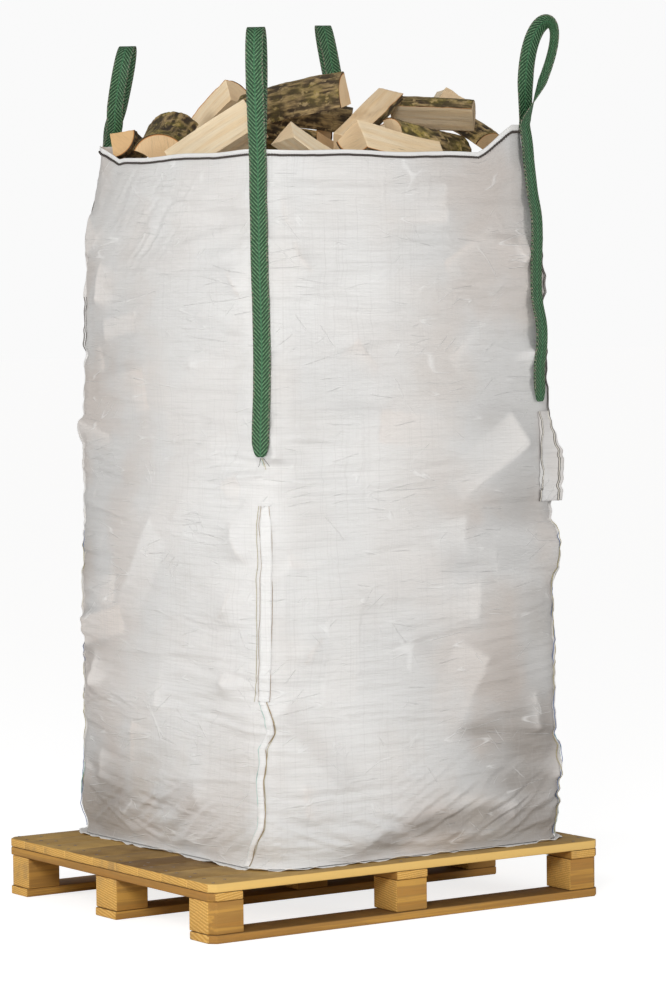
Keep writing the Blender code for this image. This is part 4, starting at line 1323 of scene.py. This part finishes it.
def makeHem():
    steps = 4 * bag["columns"]
    turn = np.arange(steps) * 4.0 / steps
    # the inner turning follows the cloth closely, down to its raw edge and back
    inner = np.linspace(0.006, hem["inside"], 14)
    profile = [*hem["edge"]]
    profile += [(-0.0036, down) for down in inner] + [(-0.0022, down) for down in inner[::-1]]
    wander = lumps(turn * 22, turn * 0, 71) * 0.0004
    lines = [clothAt(turn, 1 - down / bag["height"], out + wander * (out > 0)) for out, down in profile]
    grid = np.stack(lines, axis=1)
    grid = np.concatenate([grid, grid[:1]])
    band = gridPiece("rimHem", grid, hemFinish(), closedAcross=True)
    along = np.arange(steps + 1) * bag["flatWidth"] * 4 / steps
    around = np.cumsum([0.0] + [0.008] * (len(profile) - 1))
    mapPoints(band, along[:, None], around[None, :])
    mergeDoubles(band, 0.000001)
    place(band, "woven_polypropylene")

    # the sewing is two dark strands wound round each other
    dark = threadFinish("darkThread", hem["threadColour"])
    count = int(hem["round"] / hem["threadStep"])
    turn = np.arange(count) * 4.0 / count
    wander = lumps(turn * 40, turn * 0, 9) * 0.0006
    strands = []
    for phase in (0.0, math.pi):
        angle = turn * hem["round"] / 4 / hem["twist"] * 2 * math.pi + phase
        down = hem["band"] + hem["threadDown"] + 0.0013 * np.sin(angle) + wander
        path = clothAt(turn, 1 - down / bag["height"], hem["threadDown"] + 0.0012 * np.cos(angle))
        strands.append(tube("strand", path, hem["thread"], dark, 5, closedPath=True))
    place(joined("rimStitching", strands), "woven_polypropylene")
    print("hem ready")


makeHem()


seams = {
    "tape": 0.029,  # width of the cloth tape down the front corner
    "tapeHeights": (0.566, 1.050),
    "tapeProud": 0.0022,
    "sheetThick": 0.0014,
    "foldHalf": 0.010,  # half the width of the fold below the tape
    "foldProud": 0.0030,
    "colours": {
        "dark": (0.060, 0.045, 0.036),
        "cream": (0.780, 0.740, 0.640),
        "tan": (0.330, 0.230, 0.140),
        "olive": (0.400, 0.350, 0.190),
        "mint": (0.330, 0.560, 0.470),
        "blue": (0.120, 0.170, 0.330),
    },
    # height above the deck side: how far the front seam strays, in metres
    "stray": (
        (0.150, -0.012), (0.202, 0.004), (0.251, 0.022), (0.326, 0.014), (0.371, 0.010),
        (0.413, 0.018), (0.450, 0.014), (0.487, 0.034), (0.520, 0.028), (0.566, 0.008),
    ),
    # height and how far a corner's seam allowance stands out
    "finRight": (
        (0.15, 0.005), (0.40, 0.008), (0.70, 0.005), (1.00, 0.008), (1.30, 0.006), (1.86, 0.007),
    ),
    "finBack": ((0.15, 0.005), (0.50, 0.009), (0.90, 0.006), (1.40, 0.009), (1.86, 0.006)),
    "finLeft": (
        (0.15, 0.005), (0.90, 0.006), (1.40, 0.007), (1.46, 0.012), (1.56, 0.012),
        (1.64, 0.005), (1.72, 0.013), (1.85, 0.010), (1.90, 0.005),
    ),
    # the sewing of the tape: side, colour, how far out
    "tapeLines": ((1.0, "tan", 0.0016), (-1.15, "tan", 0.0016), (-1.75, "olive", 0.0010)),
    # threads beside the front seam: aside, colour, radius, how far out
    "strayLines": (
        (0.0045, "tan", 0.0010, 0.0010), (0.0065, "olive", 0.0007, 0.0010),
        (-0.0150, "mint", 0.0008, 0.0016), (-0.0120, "mint", 0.0007, 0.0022),
    ),
    # loose threads along the other seams: colour, up to what height
    "looseLines": (("olive", 1.02), ("blue", 0.95), ("mint", 0.42), ("cream", 0.90)),
    # height, and how far the flap below the right strap stands out
    "flap": ((1.030, 0.034), (1.155, 0.036), (1.225, 0.016), (1.262, 0.004)),
    # the two sewn lines of the flap are a pale cord between two dark ones: aside, colour, radius
    "chain": ((-0.0024, "dark", 0.0009), (0.0, "cream", 0.0015), (0.0024, "dark", 0.0009)),
    "frays": 5,
    "frayFrom": 1.168,
}


def onCloth(name, turn, height, section, finish):
    # a strip that follows the cloth; section is (aside, out) points at each step
    share = shareOf(height)
    aside, out = np.moveaxis(section, -1, 0)
    grid = clothAt(turn[:, None] + aside / bag["run"], share[:, None] + 0 * aside, out)
    piece = gridPiece(name, grid, finish, closedAcross=True)
    mapPoints(piece, aside + out, (share * bag["height"])[:, None])
    closeEnds(piece, section.shape[1])
    return piece


def sheetSection(aside, out, thick):
    # a thin closed section from a curve of (aside, out), one row for each step
    curve = np.stack(np.broadcast_arrays(aside, out), axis=-1)
    run = np.gradient(curve, axis=1)
    run /= np.linalg.norm(run, axis=2)[..., None] + 1e-9
    side = np.stack([-run[..., 1], run[..., 0]], axis=-1) * thick / 2
    return np.concatenate([curve + side, (curve - side)[:, ::-1]], axis=1)


def threadOnCloth(turn, height, aside, out, radius, finish):
    return tube("thread", clothAt(turn + aside / bag["run"], shareOf(height), out), radius, finish, 4)


def makeFrontSeam(colours, cloth):
    # the tape down the front corner, with its sewn lines
    lines = []
    low, high = seams["tapeHeights"]
    height = np.linspace(low, high, 130)
    turn = seamTurn(0, shareOf(height))
    half = seams["tape"] / 2
    sway = 0.0025 * np.sin(height * 9.0) + 0.008
    width = half * (1 - 0.25 * np.clip((height - high + 0.05) / 0.05, 0, 1))
    across = np.linspace(-1, 1, 7)
    proud = seams["tapeProud"] * np.clip((high - height) / 0.05, 0.1, 1)
    aside, out = sway[:, None] + width[:, None] * across, proud[:, None] + 0.0006 * (1 - across**2)
    section = sheetSection(aside, out, seams["sheetThick"])
    tape = onCloth("frontSeamTape", turn, height, section, cloth)
    place(tape, "woven_polypropylene")
    for side, tone, out in seams["tapeLines"]:
        aside = sway + width * side + 0.0020 * lumps(height * 26 + side * 7, height * 0, 3)
        lines.append(threadOnCloth(turn, height, aside, out, 0.0006, colours[tone]))
    # below it the seam strays down to the deck
    height = np.linspace(bag["bottom"] + 0.004, low + 0.01, 260)
    turn = seamTurn(0, shareOf(height))
    stray = smoothed(np.interp(height, *np.array(seams["stray"]).T), 10)
    across = np.linspace(-seams["foldHalf"], seams["foldHalf"], 7)
    fold = seams["foldProud"] * (1 - (across / seams["foldHalf"]) ** 2)
    section = sheetSection(stray[:, None] + across - 0.006, 0.0006 + fold, seams["sheetThick"])
    place(onCloth("frontSeamFold", turn, height, section, cloth), "woven_polypropylene")
    for aside, tone, radius, out in seams["strayLines"]:
        wave = 0.0022 * lumps(height * 46 + aside * 900, height * 0, 4)
        lines.append(threadOnCloth(turn, height, stray + aside + wave, out, radius, colours[tone]))
    return lines


def sewnRuns(name, height):
    # where the sewing of a seam allowance can be seen
    shown = (height > 1.2) | (name == "Back")
    if name == "Left":
        shown = (np.abs(height - 1.79) < 0.075) | (np.abs(height - 1.50) < 0.075)
    ends = np.flatnonzero(np.diff(np.concatenate([[0], shown.astype(int), [0]])))
    return [slice(first, last) for first, last in zip(ends[::2], ends[1::2])]


def makeAllowance(corner, name, colours, cloth):
    # the seam allowance that stands out at a corner
    lines = []
    table = np.array(seams["fin" + name])
    height = np.linspace(table[0, 0], table[-1, 0], 330)
    turn = seamTurn(corner, shareOf(height))
    reach = np.interp(height, *table.T) * (1 + 0.25 * lumps(height * 24, height * 0, 20 + corner))
    lean = 0.0045 * lumps(height * 13, height * 0, 30 + corner)
    out = np.linspace(-0.002, 1, 6)
    section = sheetSection(lean[:, None] * out**2, reach[:, None] * out, 0.0016)
    fin = onCloth("seamAllowance" + name, turn, height, section, cloth)
    # painted shade: the seam allowance is greyed as if in shadow
    paintPoints(fin, "gap", 0.45)
    place(fin, "woven_polypropylene")
    for part in (0.30, 0.80):
        for side in (-1, 1):
            aside, out = lean * part**2 + side * 0.0014, reach * part
            for at in sewnRuns(name, height):
                line = threadOnCloth(turn[at], height[at], aside[at], out[at], 0.0009, colours["dark"])
                lines.append(line)
    for k, (tone, top) in enumerate(seams["looseLines"]):
        height = np.linspace(bag["bottom"] + 0.01, top, 220)
        aside = 0.005 * lumps(height * 14 + k * 9, height * 0, 50 + corner) + 0.002 * (k - 1.5)
        out = 0.0045 + 0.0035 * lumps(height * 19 + k * 5, height * 0, 60 + corner)
        turn = seamTurn(corner, shareOf(height))
        lines.append(threadOnCloth(turn, height, aside, out, 0.0010, colours[tone]))
    return lines


def makeFlap(colours, cloth):
    # the flap of cloth that hangs below the right strap, with its two chain-stitched lines
    lines = []
    table = np.array(seams["flap"])
    height = np.linspace(table[0, 0], table[-1, 0], 90)
    turn = seamTurn(1, shareOf(height))
    reach = np.interp(height, *table.T) + 0.004 * np.sin(height * 24.0)
    wave = 0.006 * np.sin(height * 40.0)

    def asideAt(part):
        return -0.060 + 0.055 * np.sin(part * 1.4)

    part = np.linspace(0, 1, 10)
    aside, out = asideAt(part) + wave[:, None] * part, 0.0025 + reach[:, None] * part**1.6
    flap = onCloth("cornerFlap", turn, height, sheetSection(aside, out, 0.0012), cloth)
    # painted shade: the flap is greyed as if in shadow
    paintPoints(flap, "gap", 0.70)
    place(flap, "woven_polypropylene")
    for part, wiggle in ((0.10, 0.006), (0.80, 0.0)):
        out = 0.0025 + reach * part**1.6 + 0.0012
        aside = asideAt(part) + wave * part + wiggle * np.sin(height * 52.0 + 1.0) - 0.0012
        for shift, tone, radius in seams["chain"]:
            line = threadOnCloth(
                turn, height, aside + shift * (1 - part), out + shift * part, radius, colours[tone]
            )
            lines.append(line)
    return lines


def makeFrays(colours):
    # frayed ends under the front strap
    lines = []
    draw = np.random.default_rng(8)
    top = seams["frayFrom"]
    for k in range(seams["frays"]):
        height = np.linspace(top, top - 0.018 - 0.012 * draw.random(), 12)
        aside = (height - top) * draw.uniform(-0.9, 0.5) + draw.uniform(-0.008, 0.008)
        tone, out = ("dark", "olive", "mint")[k % 3], 0.0025 + 0.002 * draw.random()
        turn = seamTurn(0, shareOf(height))
        lines.append(threadOnCloth(turn, height, aside, out, 0.0006, colours[tone]))
    return lines


def makeSeams():
    colours = {name: threadFinish(name + "Thread", colour) for name, colour in seams["colours"].items()}
    cloth = bpy.data.materials["wovenCloth"]
    lines = makeFrontSeam(colours, cloth)
    for corner, name in enumerate(bag["sides"]):
        if corner > 0:
            lines += makeAllowance(corner, name, colours, cloth)
    lines += makeFlap(colours, cloth)
    lines += makeFrays(colours)
    place(joined("seamThreads", lines), "woven_polypropylene")
    print("seams ready")


makeSeams()


baseCloth = {
    "steps": 900,
    "reach": (0.010, 0.032),  # how far it lies past the bag's foot
    "ripple": 0.007,
    "thick": 0.0013,
    # rows of points: shares of the way from the middle to the foot, then of the reach past it
    "inside": (0.0, 0.35, 0.65, 0.85, 0.94, 0.98),
    "outside": (0.0, 0.12, 0.25, 0.4, 0.55, 0.7, 0.85, 1.0),
}


def makeBaseCloth():
    # flat under the bag, rippled where its seam allowance lies on the deck
    turn = np.arange(baseCloth["steps"]) * 4 / baseCloth["steps"]
    foot = clothPlace(turn, 0.0, 0.0)
    low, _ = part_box("bag_base")
    middle = np.array((*bag["middle"], 0.0))
    least, most = baseCloth["reach"]
    wide = (0.5 + 0.5 * lumps(turn * 9, turn * 0, 81)) * (0.75 + 0.25 * lumps(turn * 60, turn * 0, 82))
    reach = least + (most - least) * wide
    ripple = 0.45 + lumps(turn * 42, turn * 0, 83) * 0.6 + lumps(turn * 15, turn * 0, 84) * 0.4
    rows = [middle + (foot - middle) * inward for inward in baseCloth["inside"]]
    rows += [clothPlace(turn, 0.0, reach * part) for part in baseCloth["outside"]]
    grid = np.stack(rows)
    lift = np.array((0.0,) * len(baseCloth["inside"]) + baseCloth["outside"])[:, None]
    grid[..., 2] = low.z + 0.0003 + baseCloth["ripple"] * np.clip(ripple, 0, 1.4) * lift**1.2
    bottom = gridPiece("baseCloth", grid[::-1], hemFinish(), closedAcross=True)
    mapPoints(bottom, turn * bag["run"], lift[::-1] * 0.03)
    mergeDoubles(bottom, 0.00001)
    wall = bottom.modifiers.new("cloth", "SOLIDIFY")
    wall.thickness = baseCloth["thick"]
    wall.offset = 1.0
    applyAll(bottom)
    place(bottom, "woven_polypropylene", "bag_base")
    print("bottom cloth ready")


makeBaseCloth()


logs = {
    "step": 0.0055,  # spacing of the points along and round a log
    "splitSide": 0.047,  # sides of a plain log longer than this are split faces
    "bow": 0.004,
    "askew": 0.05,  # most slope of a sawn end
    "bareRadius": 0.97,  # of a log split on every side, as a share of what its bark had
    "wornEdge": (0.0016, 0.0012),  # of a sawn end: inwards, and along
    "rind": 0.006,  # width of the dark line that follows the bark on a split face
    "pale": (0.975, 0.830, 0.600),
    "straw": (0.920, 0.715, 0.445),
    "aged": (0.470, 0.345, 0.215),
    "orange": (0.560, 0.235, 0.060),
    "bark": (0.036, 0.024, 0.011),
    "barkLight": (0.580, 0.410, 0.185),
    "moss": (0.150, 0.128, 0.018),
    "lichen": (0.640, 0.480, 0.120),
    # log: how aged and how orange its split faces are, how mossy its bark, whether it has none,
    # its turn in degrees
    "looks": {
        "log_01": (0.20, 0.12, 0.3, False, 0),
        "log_02": (0.00, 0.0, 0.2, True, 0),
        "log_03": (0.15, 0.2, 0.7, False, 0),
        "log_05": (0.20, 0.9, 0.3, False, 0),
        "log_06": (0.10, 0.5, 1.0, False, 0),
        "log_07": (0.05, 0.0, 0.5, True, 0),
        "log_08": (0.30, 0.6, 0.3, False, 0),
        "log_12": (0.10, 0.1, 0.2, False, 180),
        "log_13": (0.75, 0.30, 0.3, False, 0),
        "log_14": (0.15, 0.1, 0.7, False, -20),
        "log_15": (0.30, 0.2, 0.5, False, 0),
        "log_16": (1.00, 0.0, 0.3, False, 0),
    },
    # logs lower down, which close the gaps: place, heading, tilt, roll, length, kind, radius
    "below": (
        ((0.168, 0.208, 2.038), -34, -7, 59, 0.25, "quarter", 0.059),
        ((-0.235, 0.150, 1.930), 40, 0, 150, 0.22, "quarter", 0.070),
        ((-0.285, 0.260, 1.935), -30, 0, 120, 0.20, "quarter", 0.065),
        ((0.250, -0.120, 1.955), 10, 0, 170, 0.22, "quarter", 0.065),
        ((0.400, -0.140, 1.950), -60, 0, 60, 0.22, "quarter", 0.065),
    ),
    "belowLoose": 0.004,  # how far a try may be from its row
    "belowTurned": 900,  # degrees it may turn for each metre of that
    "belowRowTries": 60,
    "belowTries": 1500,
    "belowSpread": 0.38,
    "belowHeights": (1.78, 1.93),
    "belowLength": (0.17, 0.25),
    "belowHalf": (0.045, 0.062),  # radius of a half log
    "belowRadius": (0.062, 0.088),  # of any other
    "belowTop": 2.100,
    "belowInside": 0.030,  # least way to the cloth
}


def splitFinish():
    split = Finish("splitWood", Roughness=0.75)
    age, rind, tint = split.value("age"), split.value("rind"), split.value("tint")
    flat = split.uv()
    along = split.noise(split.stretch(flat, (2.5, 60, 1)), 1.0, 4, 0.6, 0.2)
    fibre = split.noise(split.stretch(flat, (14, 620, 1)), 1.0, 4, 0.65)
    cloud = split.noise(split.stretch(flat, (7, 16, 1)), 1.0, 4, 0.6)
    wood = split.mix(along.ramp(0.34, 0.70), logs["pale"], logs["straw"])
    wood = split.mix(fibre.ramp(0.50, 0.72) * 0.42, wood, (0.42, 0.255, 0.12))
    wood = split.mix(cloud.ramp(0.52, 0.75) * (age * 0.9 + 0.12), wood, logs["aged"])
    wood = split.mix(tint * 0.85, wood, (0.820, 0.450, 0.150))
    crack = split.noise(split.stretch(flat, (6, 150, 1)), 1.0, 2, 0.5)
    wood = split.mix(crack.ramp(0.70, 0.76) * 0.7, wood, (0.13, 0.075, 0.040))
    edge = (rind + (cloud - 0.5) * 0.5).ramp(0.45, 0.85)
    wood = split.mix(edge * 0.9, wood, logs["orange"])
    relief = split.bump(fibre * 0.6 + along * 0.8, 0.8, 0.0022)
    return split.finish(wood, fibre * 0.2 + 0.62, relief)


def sawnFinish():
    # end grain: the map is centred on the pith, and 1 is the bark
    sawn = Finish("sawnEnd", Roughness=0.82)
    tone, age, tint = sawn.value("tone"), sawn.value("age"), sawn.value("tint")
    u, v, _ = sawn.parts(sawn.uv())
    x = (u + 2.0).wrap(4.0) - 2.0
    spot = sawn.vector(x, v, tone * 9.0)
    wobble = sawn.noise(spot, 2.2, 3, 0.5)
    radius = sawn.length(sawn.vector(x, v))
    ring = ((radius + (wobble - 0.5) * 0.12) * 150.0).sine()
    rays = sawn.noise(spot, 46.0, 4, 0.7)
    wood = sawn.mix(ring.ramp(-0.4, 1.0) * 0.75, (0.880, 0.700, 0.460), (0.690, 0.470, 0.255))
    heart = radius.ramp(0.25, 0.75, 1.0, 0.0)
    wood = sawn.mix(heart * 0.22, wood, (0.600, 0.390, 0.220))
    wood = sawn.mix(tint * 0.62, wood, (0.780, 0.430, 0.140))
    wood = sawn.mix(rays.ramp(0.50, 0.75) * (age * 0.55 + 0.18), wood, (0.330, 0.225, 0.135))
    stripe = sawn.noise(sawn.stretch(spot, (2.0, 60, 1), turn=(0, 0, 0.6)), 1.0, 2)
    wood = sawn.mix(stripe.ramp(0.50, 0.72) * 0.34, wood, (0.300, 0.200, 0.120))
    wood = sawn.mix(radius.ramp(0.915, 0.940), wood, logs["orange"])
    wood = sawn.mix(radius.ramp(0.945, 0.965), wood, logs["bark"])
    relief = sawn.bump(stripe * 0.6 + rays * 0.6 + ring * 0.15, 0.6, 0.0016)
    return sawn.finish(wood, None, relief)


def barkFinish():
    bark = Finish("logBark", Roughness=0.88)
    tone, moss = bark.value("tone"), bark.value("moss")
    flat = bark.uv()
    ridge = bark.value("ridge")
    fine = bark.noise(bark.stretch(flat, (60, 150, 1)), 1.0, 5, 0.68)
    scale = bark.cells(bark.stretch(flat, (26, 85, 1)), "DISTANCE_TO_EDGE")
    patch = bark.noise(flat, 14.0, 5, 0.65)
    spot = bark.noise(bark.stretch(flat, move=(4, 2, 0)), 46.0, 4, 0.6)
    furrow = bark.noise(bark.stretch(flat, (16, 125, 1)), 1.0, 4, 0.62)
    raised = (ridge * 0.40 + fine * 0.35 + furrow * 0.60).ramp(0.52, 0.84)
    skin = bark.mix(raised, logs["bark"], logs["barkLight"])
    skin = bark.mix(scale.ramp(0.0, 0.09, 1.0, 0.0) * 0.35, skin, (0.035, 0.024, 0.015))
    skin = bark.mix(patch.ramp(0.42, 0.62) * (moss * 0.85), skin, logs["moss"])
    skin = bark.mix((spot * patch * 2.0).ramp(0.56, 0.72) * (moss * 0.75), skin, logs["lichen"])
    skin = bark.mix(spot.ramp(0.57, 0.66) * 0.70, skin, (0.640, 0.470, 0.240))
    skin = bark.mix(tone * 0.35, skin, (0.140, 0.085, 0.045))
    relief = bark.bump(fine * 0.8 + furrow * 1.4 + scale.least(0.12) * 2.0, 1.0, 0.0034)
    return bark.finish(skin, None, relief)


def readPrism(mesh, turned):
    # a plain log's outline, drawn round its axis, its length, and where it lies
    work = bmesh.new()
    work.from_mesh(mesh)
    bmesh.ops.remove_doubles(work, verts=work.verts, dist=1e-5)
    bmesh.ops.dissolve_limit(work, angle_limit=math.radians(2), verts=work.verts, edges=work.edges)
    ends = sorted(work.faces, key=lambda face: (len(face.verts), face.calc_area()))[-2:]
    corners = [v.co.copy() for v in ends[0].verts]
    first, last = [end.calc_center_median() for end in ends]
    work.free()
    length = (last - first).length
    axis = (last - first) / length
    origin = sum(corners, Vector()) / len(corners)
    side = (corners[0] - origin).normalized()
    third = axis.cross(side)
    outline = [Vector(((p - origin).dot(side), (p - origin).dot(third))) for p in corners]
    if sum(p.x * q.y - q.x * p.y for p, q in zip(outline, outline[1:] + outline[:1])) < 0:
        outline.reverse()
    spin = Matrix.Rotation(math.radians(turned), 3, axis)
    return outline, length, [np.array(v) for v in (origin, axis, spin @ side, spin @ third)]


def splitCorners(outline):
    # the pith, where the bark starts, and the corners of the split faces from where it ends
    count = len(outline)
    after = [outline[(i + 1) % count] for i in range(count)]
    long = [i for i in range(count) if (after[i] - outline[i]).length > logs["splitSide"]]
    if len(long) == 1:
        i = long[0]
        return (outline[i] + after[i]) / 2, after[i], [outline[i], after[i]]
    i, k = long if (long[1] - long[0]) == 1 else long[::-1]
    return outline[k], after[k], [outline[i], outline[k], after[k]]


def logRing(outline, bare, step):
    # rows of place, direction outwards, 1 where it is bark, and nearness to the bark
    pith, start, splits = splitCorners(outline)
    radius = (start - pith).length
    low = math.atan2(*(start - pith).yx)
    high = math.atan2(*(splits[0] - pith).yx)
    span = (high - low) % (2 * math.pi)
    steps = max(8, int(span * radius / step))
    ring = []
    for a in low + span * np.arange(steps + 1) / steps:
        facing, reach = a, radius
        if bare:
            # split on every side: one or two flat faces in place of the bark
            chords = 1 if span < 1.7 else 2
            part = min(chords - 1, int((a - low) / span * chords))
            facing = low + span * (part + 0.5) / chords
            reach = radius * logs["bareRadius"] * math.cos(span / chords / 2) / math.cos(a - facing)
        spot = (pith.x + reach * math.cos(a), pith.y + reach * math.sin(a))
        ring.append((*spot, math.cos(facing), math.sin(facing), not bare, not bare))
    for p, q in zip(splits, splits[1:]):
        run = q - p
        pieces = max(4, int(run.length / step))
        for i in range(1, pieces):
            spot = p + run * i / pieces
            fromBark = radius - (spot - pith).length
            near = 0.0 if bare else max(0.0, 1 - fromBark / logs["rind"])
            ring.append((*spot, run.y / run.length, -run.x / run.length, 0, near))
        if q == pith:
            inward = (pith - (start + splits[0]) / 2).normalized()
            ring.append((*q, *inward, 0, 0))
    return np.array(ring, float), np.array(pith), radius


def sawEnds(piece, flat, number, girth):
    # closes both ends; flat has the place of each point in the map of the sawn end
    work = bmesh.new()
    work.from_mesh(piece.data)
    work.verts.ensure_lookup_table()
    layer = work.loops.layers.uv["UVMap"]
    # the strip that closes the ring keeps its map unbroken
    for face in work.faces:
        top = max(loop[layer].uv.y for loop in face.loops)
        for loop in face.loops:
            if top - loop[layer].uv.y > girth / 2:
                loop[layer].uv.y += girth
    count = flat.shape[1]
    for end, first in ((0, 0), (-1, len(work.verts) - count)):
        corners = [work.verts[first + i] for i in range(count)]
        face = work.faces.new(corners[::-1] if end == 0 else corners)
        face.material_index = 2
        face.smooth = False
        for loop in face.loops:
            spot = flat[end, loop.vert.index - first]
            loop[layer].uv = (4.0 * number + spot[0], spot[1])
    bmesh.ops.recalc_face_normals(work, faces=work.faces)
    work.to_mesh(piece.data)
    work.free()


def roundLog(name, mesh, number, finishes, look, step=logs["step"]):
    # gives a plain prism its bark, split faces and sawn ends
    age, tint, moss, bare, turned = look
    outline, length, (origin, axis, side, third) = readPrism(mesh, turned)
    ring, pith, radius = logRing(outline, bare, step)
    isBark = ring[:, 4] == 1
    draw = np.random.default_rng(number)
    fromStart = lengthAlong(np.concatenate([ring[:, :2], ring[:1, :2]]))
    rows = max(12, int(length / step))
    along, around = np.meshgrid(np.linspace(0, length, rows + 1), fromStart[:-1], indexing="ij")
    # the bark is furrowed; a split face is torn in long steps
    seed = 100 + number * 7
    shift = draw.uniform(0, 50)

    def rough(lengthwise, across, k):
        return lumps(along * lengthwise + shift, around * across, seed + k)

    ridge = 0.7 * (1 - np.abs(rough(22, 95, 0)) * 1.6) + 0.3 * (1 - np.abs(rough(50, 170, 1)) * 1.6)
    barkOut = 0.0026 * (ridge - 0.5) + 0.0030 * rough(7, 14, 2)
    torn = 0.0016 * np.round(rough(4, 42, 4) * 2.5) / 2.5
    splitOut = 0.0030 * rough(6, 9, 3) + torn + 0.0007 * rough(20, 260, 5)
    out = np.where(isBark, barkOut, splitOut)
    flat = ring[:, :2] + ring[:, 2:4] * out[..., None]
    flat[..., 0] += logs["bow"] * np.sin(math.pi * along / length) * draw.choice((-1, 1))
    # it is sawn a little askew, and worn where the ends begin
    slope = draw.uniform(-logs["askew"], logs["askew"], (2, 2))
    share = along / length
    along = along + (flat * slope[0]).sum(-1) * (1 - share) + (flat * slope[1]).sum(-1) * share
    inward, onward = 1 - logs["wornEdge"][0] / radius, logs["wornEdge"][1]
    flat = np.concatenate([flat[:1] * inward, flat, flat[-1:] * inward])
    along = np.concatenate([along[:1] - onward, along, along[-1:] + onward])
    points = origin + along[..., None] * axis + flat[..., :1] * side + flat[..., 1:] * third
    piece = gridPiece(name, points, finishes[0], closedAcross=True)
    mesh = piece.data
    for finish in finishes[1:]:
        mesh.materials.append(finish)
    kinds = np.where(isBark & np.roll(isBark, -1), 1, 0)
    mesh.polygons.foreach_set("material_index", np.tile(kinds, len(points) - 1).astype(np.int32))
    for layer, value in (("tone", draw.random()), ("age", age), ("tint", tint), ("moss", moss)):
        paintPoints(piece, layer, value)
    paintPoints(piece, "rind", np.tile(ring[:, 5], len(points)))
    paintPoints(piece, "ridge", np.clip(np.concatenate([ridge[:1], ridge, ridge[-1:]]), 0, 1))
    mapPoints(piece, along + number * 1.7, fromStart[:-1] + number * 0.9)
    sawEnds(piece, (flat - pith) / radius * (0.85 if bare else 1.0), number, fromStart[-1])
    only(piece)
    bpy.ops.object.shade_smooth_by_angle(angle=math.radians(38))
    return piece


def makeTopLogs(heap):
    finishes = [splitFinish(), barkFinish(), sawnFinish()]
    draw = random.Random(31)
    for number, name in enumerate(sorted(n for n in nodes if n.startswith("log_"))):
        plain = (draw.uniform(0, 0.5), draw.uniform(0, 0.5), draw.uniform(0, 0.9), False, 0)
        mesh = nodes[name].data
        piece = roundLog("splitLog" + name[-2:], mesh, number, finishes, logs["looks"].get(name, plain))
        place(piece, "split_wood", name)
        faces = [tuple(face.vertices) for face in mesh.polygons]
        heap.add([v.co.copy() for v in mesh.vertices], faces, [0] * len(faces))
    # the logs lower down: first at chosen places, then wherever there is room
    wanted = [
        (spot, *rest, logs["belowLoose"])
        for spot, *rest in logs["below"]
        for _ in range(logs["belowRowTries"])
    ]
    spread = logs["belowSpread"]
    for _ in range(logs["belowTries"]):
        x, y = [at + draw.uniform(-spread, spread) for at in bag["middle"]]
        spot = (x, y, draw.uniform(*logs["belowHeights"]))
        kind = draw.choice(("half", "third", "quarter", "quarter"))
        radius = draw.uniform(*logs["belowHalf" if kind == "half" else "belowRadius"])
        lie = (draw.uniform(0, 360), draw.gauss(0, 7), draw.uniform(0, 360))
        wanted.append((spot, *lie, draw.uniform(*logs["belowLength"]), kind, radius, 0.0))
    found, last = 0, None
    for spot, heading, tilt, roll, length, kind, radius, loose in wanted:
        if loose and spot == last:
            continue
        astray = logs["belowTurned"] * loose
        jitter = Vector([draw.uniform(-loose, loose) for _ in range(3)])
        turn = Matrix.Rotation(math.radians(heading + astray * draw.uniform(-1, 1)), 3, "Z")
        turn = turn @ Matrix.Rotation(math.radians(-tilt), 3, "Y")
        turn = turn @ Matrix.Rotation(math.radians(roll + astray * draw.uniform(-1, 1)), 3, "X")
        points, faces, skin = plainLog(kind, radius, length)
        points = [turn @ p + Vector(spot) + jitter for p in points]
        if max(outsideBy(p) for p in points) > -logs["belowInside"]:
            continue
        if max(p.z for p in points) > logs["belowTop"] + loose or not heap.clear(points, faces):
            continue
        heap.add(points, faces, skin)
        mesh = bpy.data.meshes.new("plain")
        mesh.from_pydata(points, [], faces)
        age, tint, moss = draw.uniform(0, 0.4), draw.uniform(0, 0.7), draw.uniform(0, 0.8)
        look = (age, tint, moss, draw.random() < 0.3, 0)
        found, last = found + 1, spot if loose else None
        piece = roundLog(f"lowerLog{found:02d}", mesh, 40 + found, finishes, look, logs["step"] * 2)
        bpy.data.meshes.remove(mesh)
        place(piece, "split_wood")
    print("top logs ready, and", found, "below them")


makeTopLogs(heap)
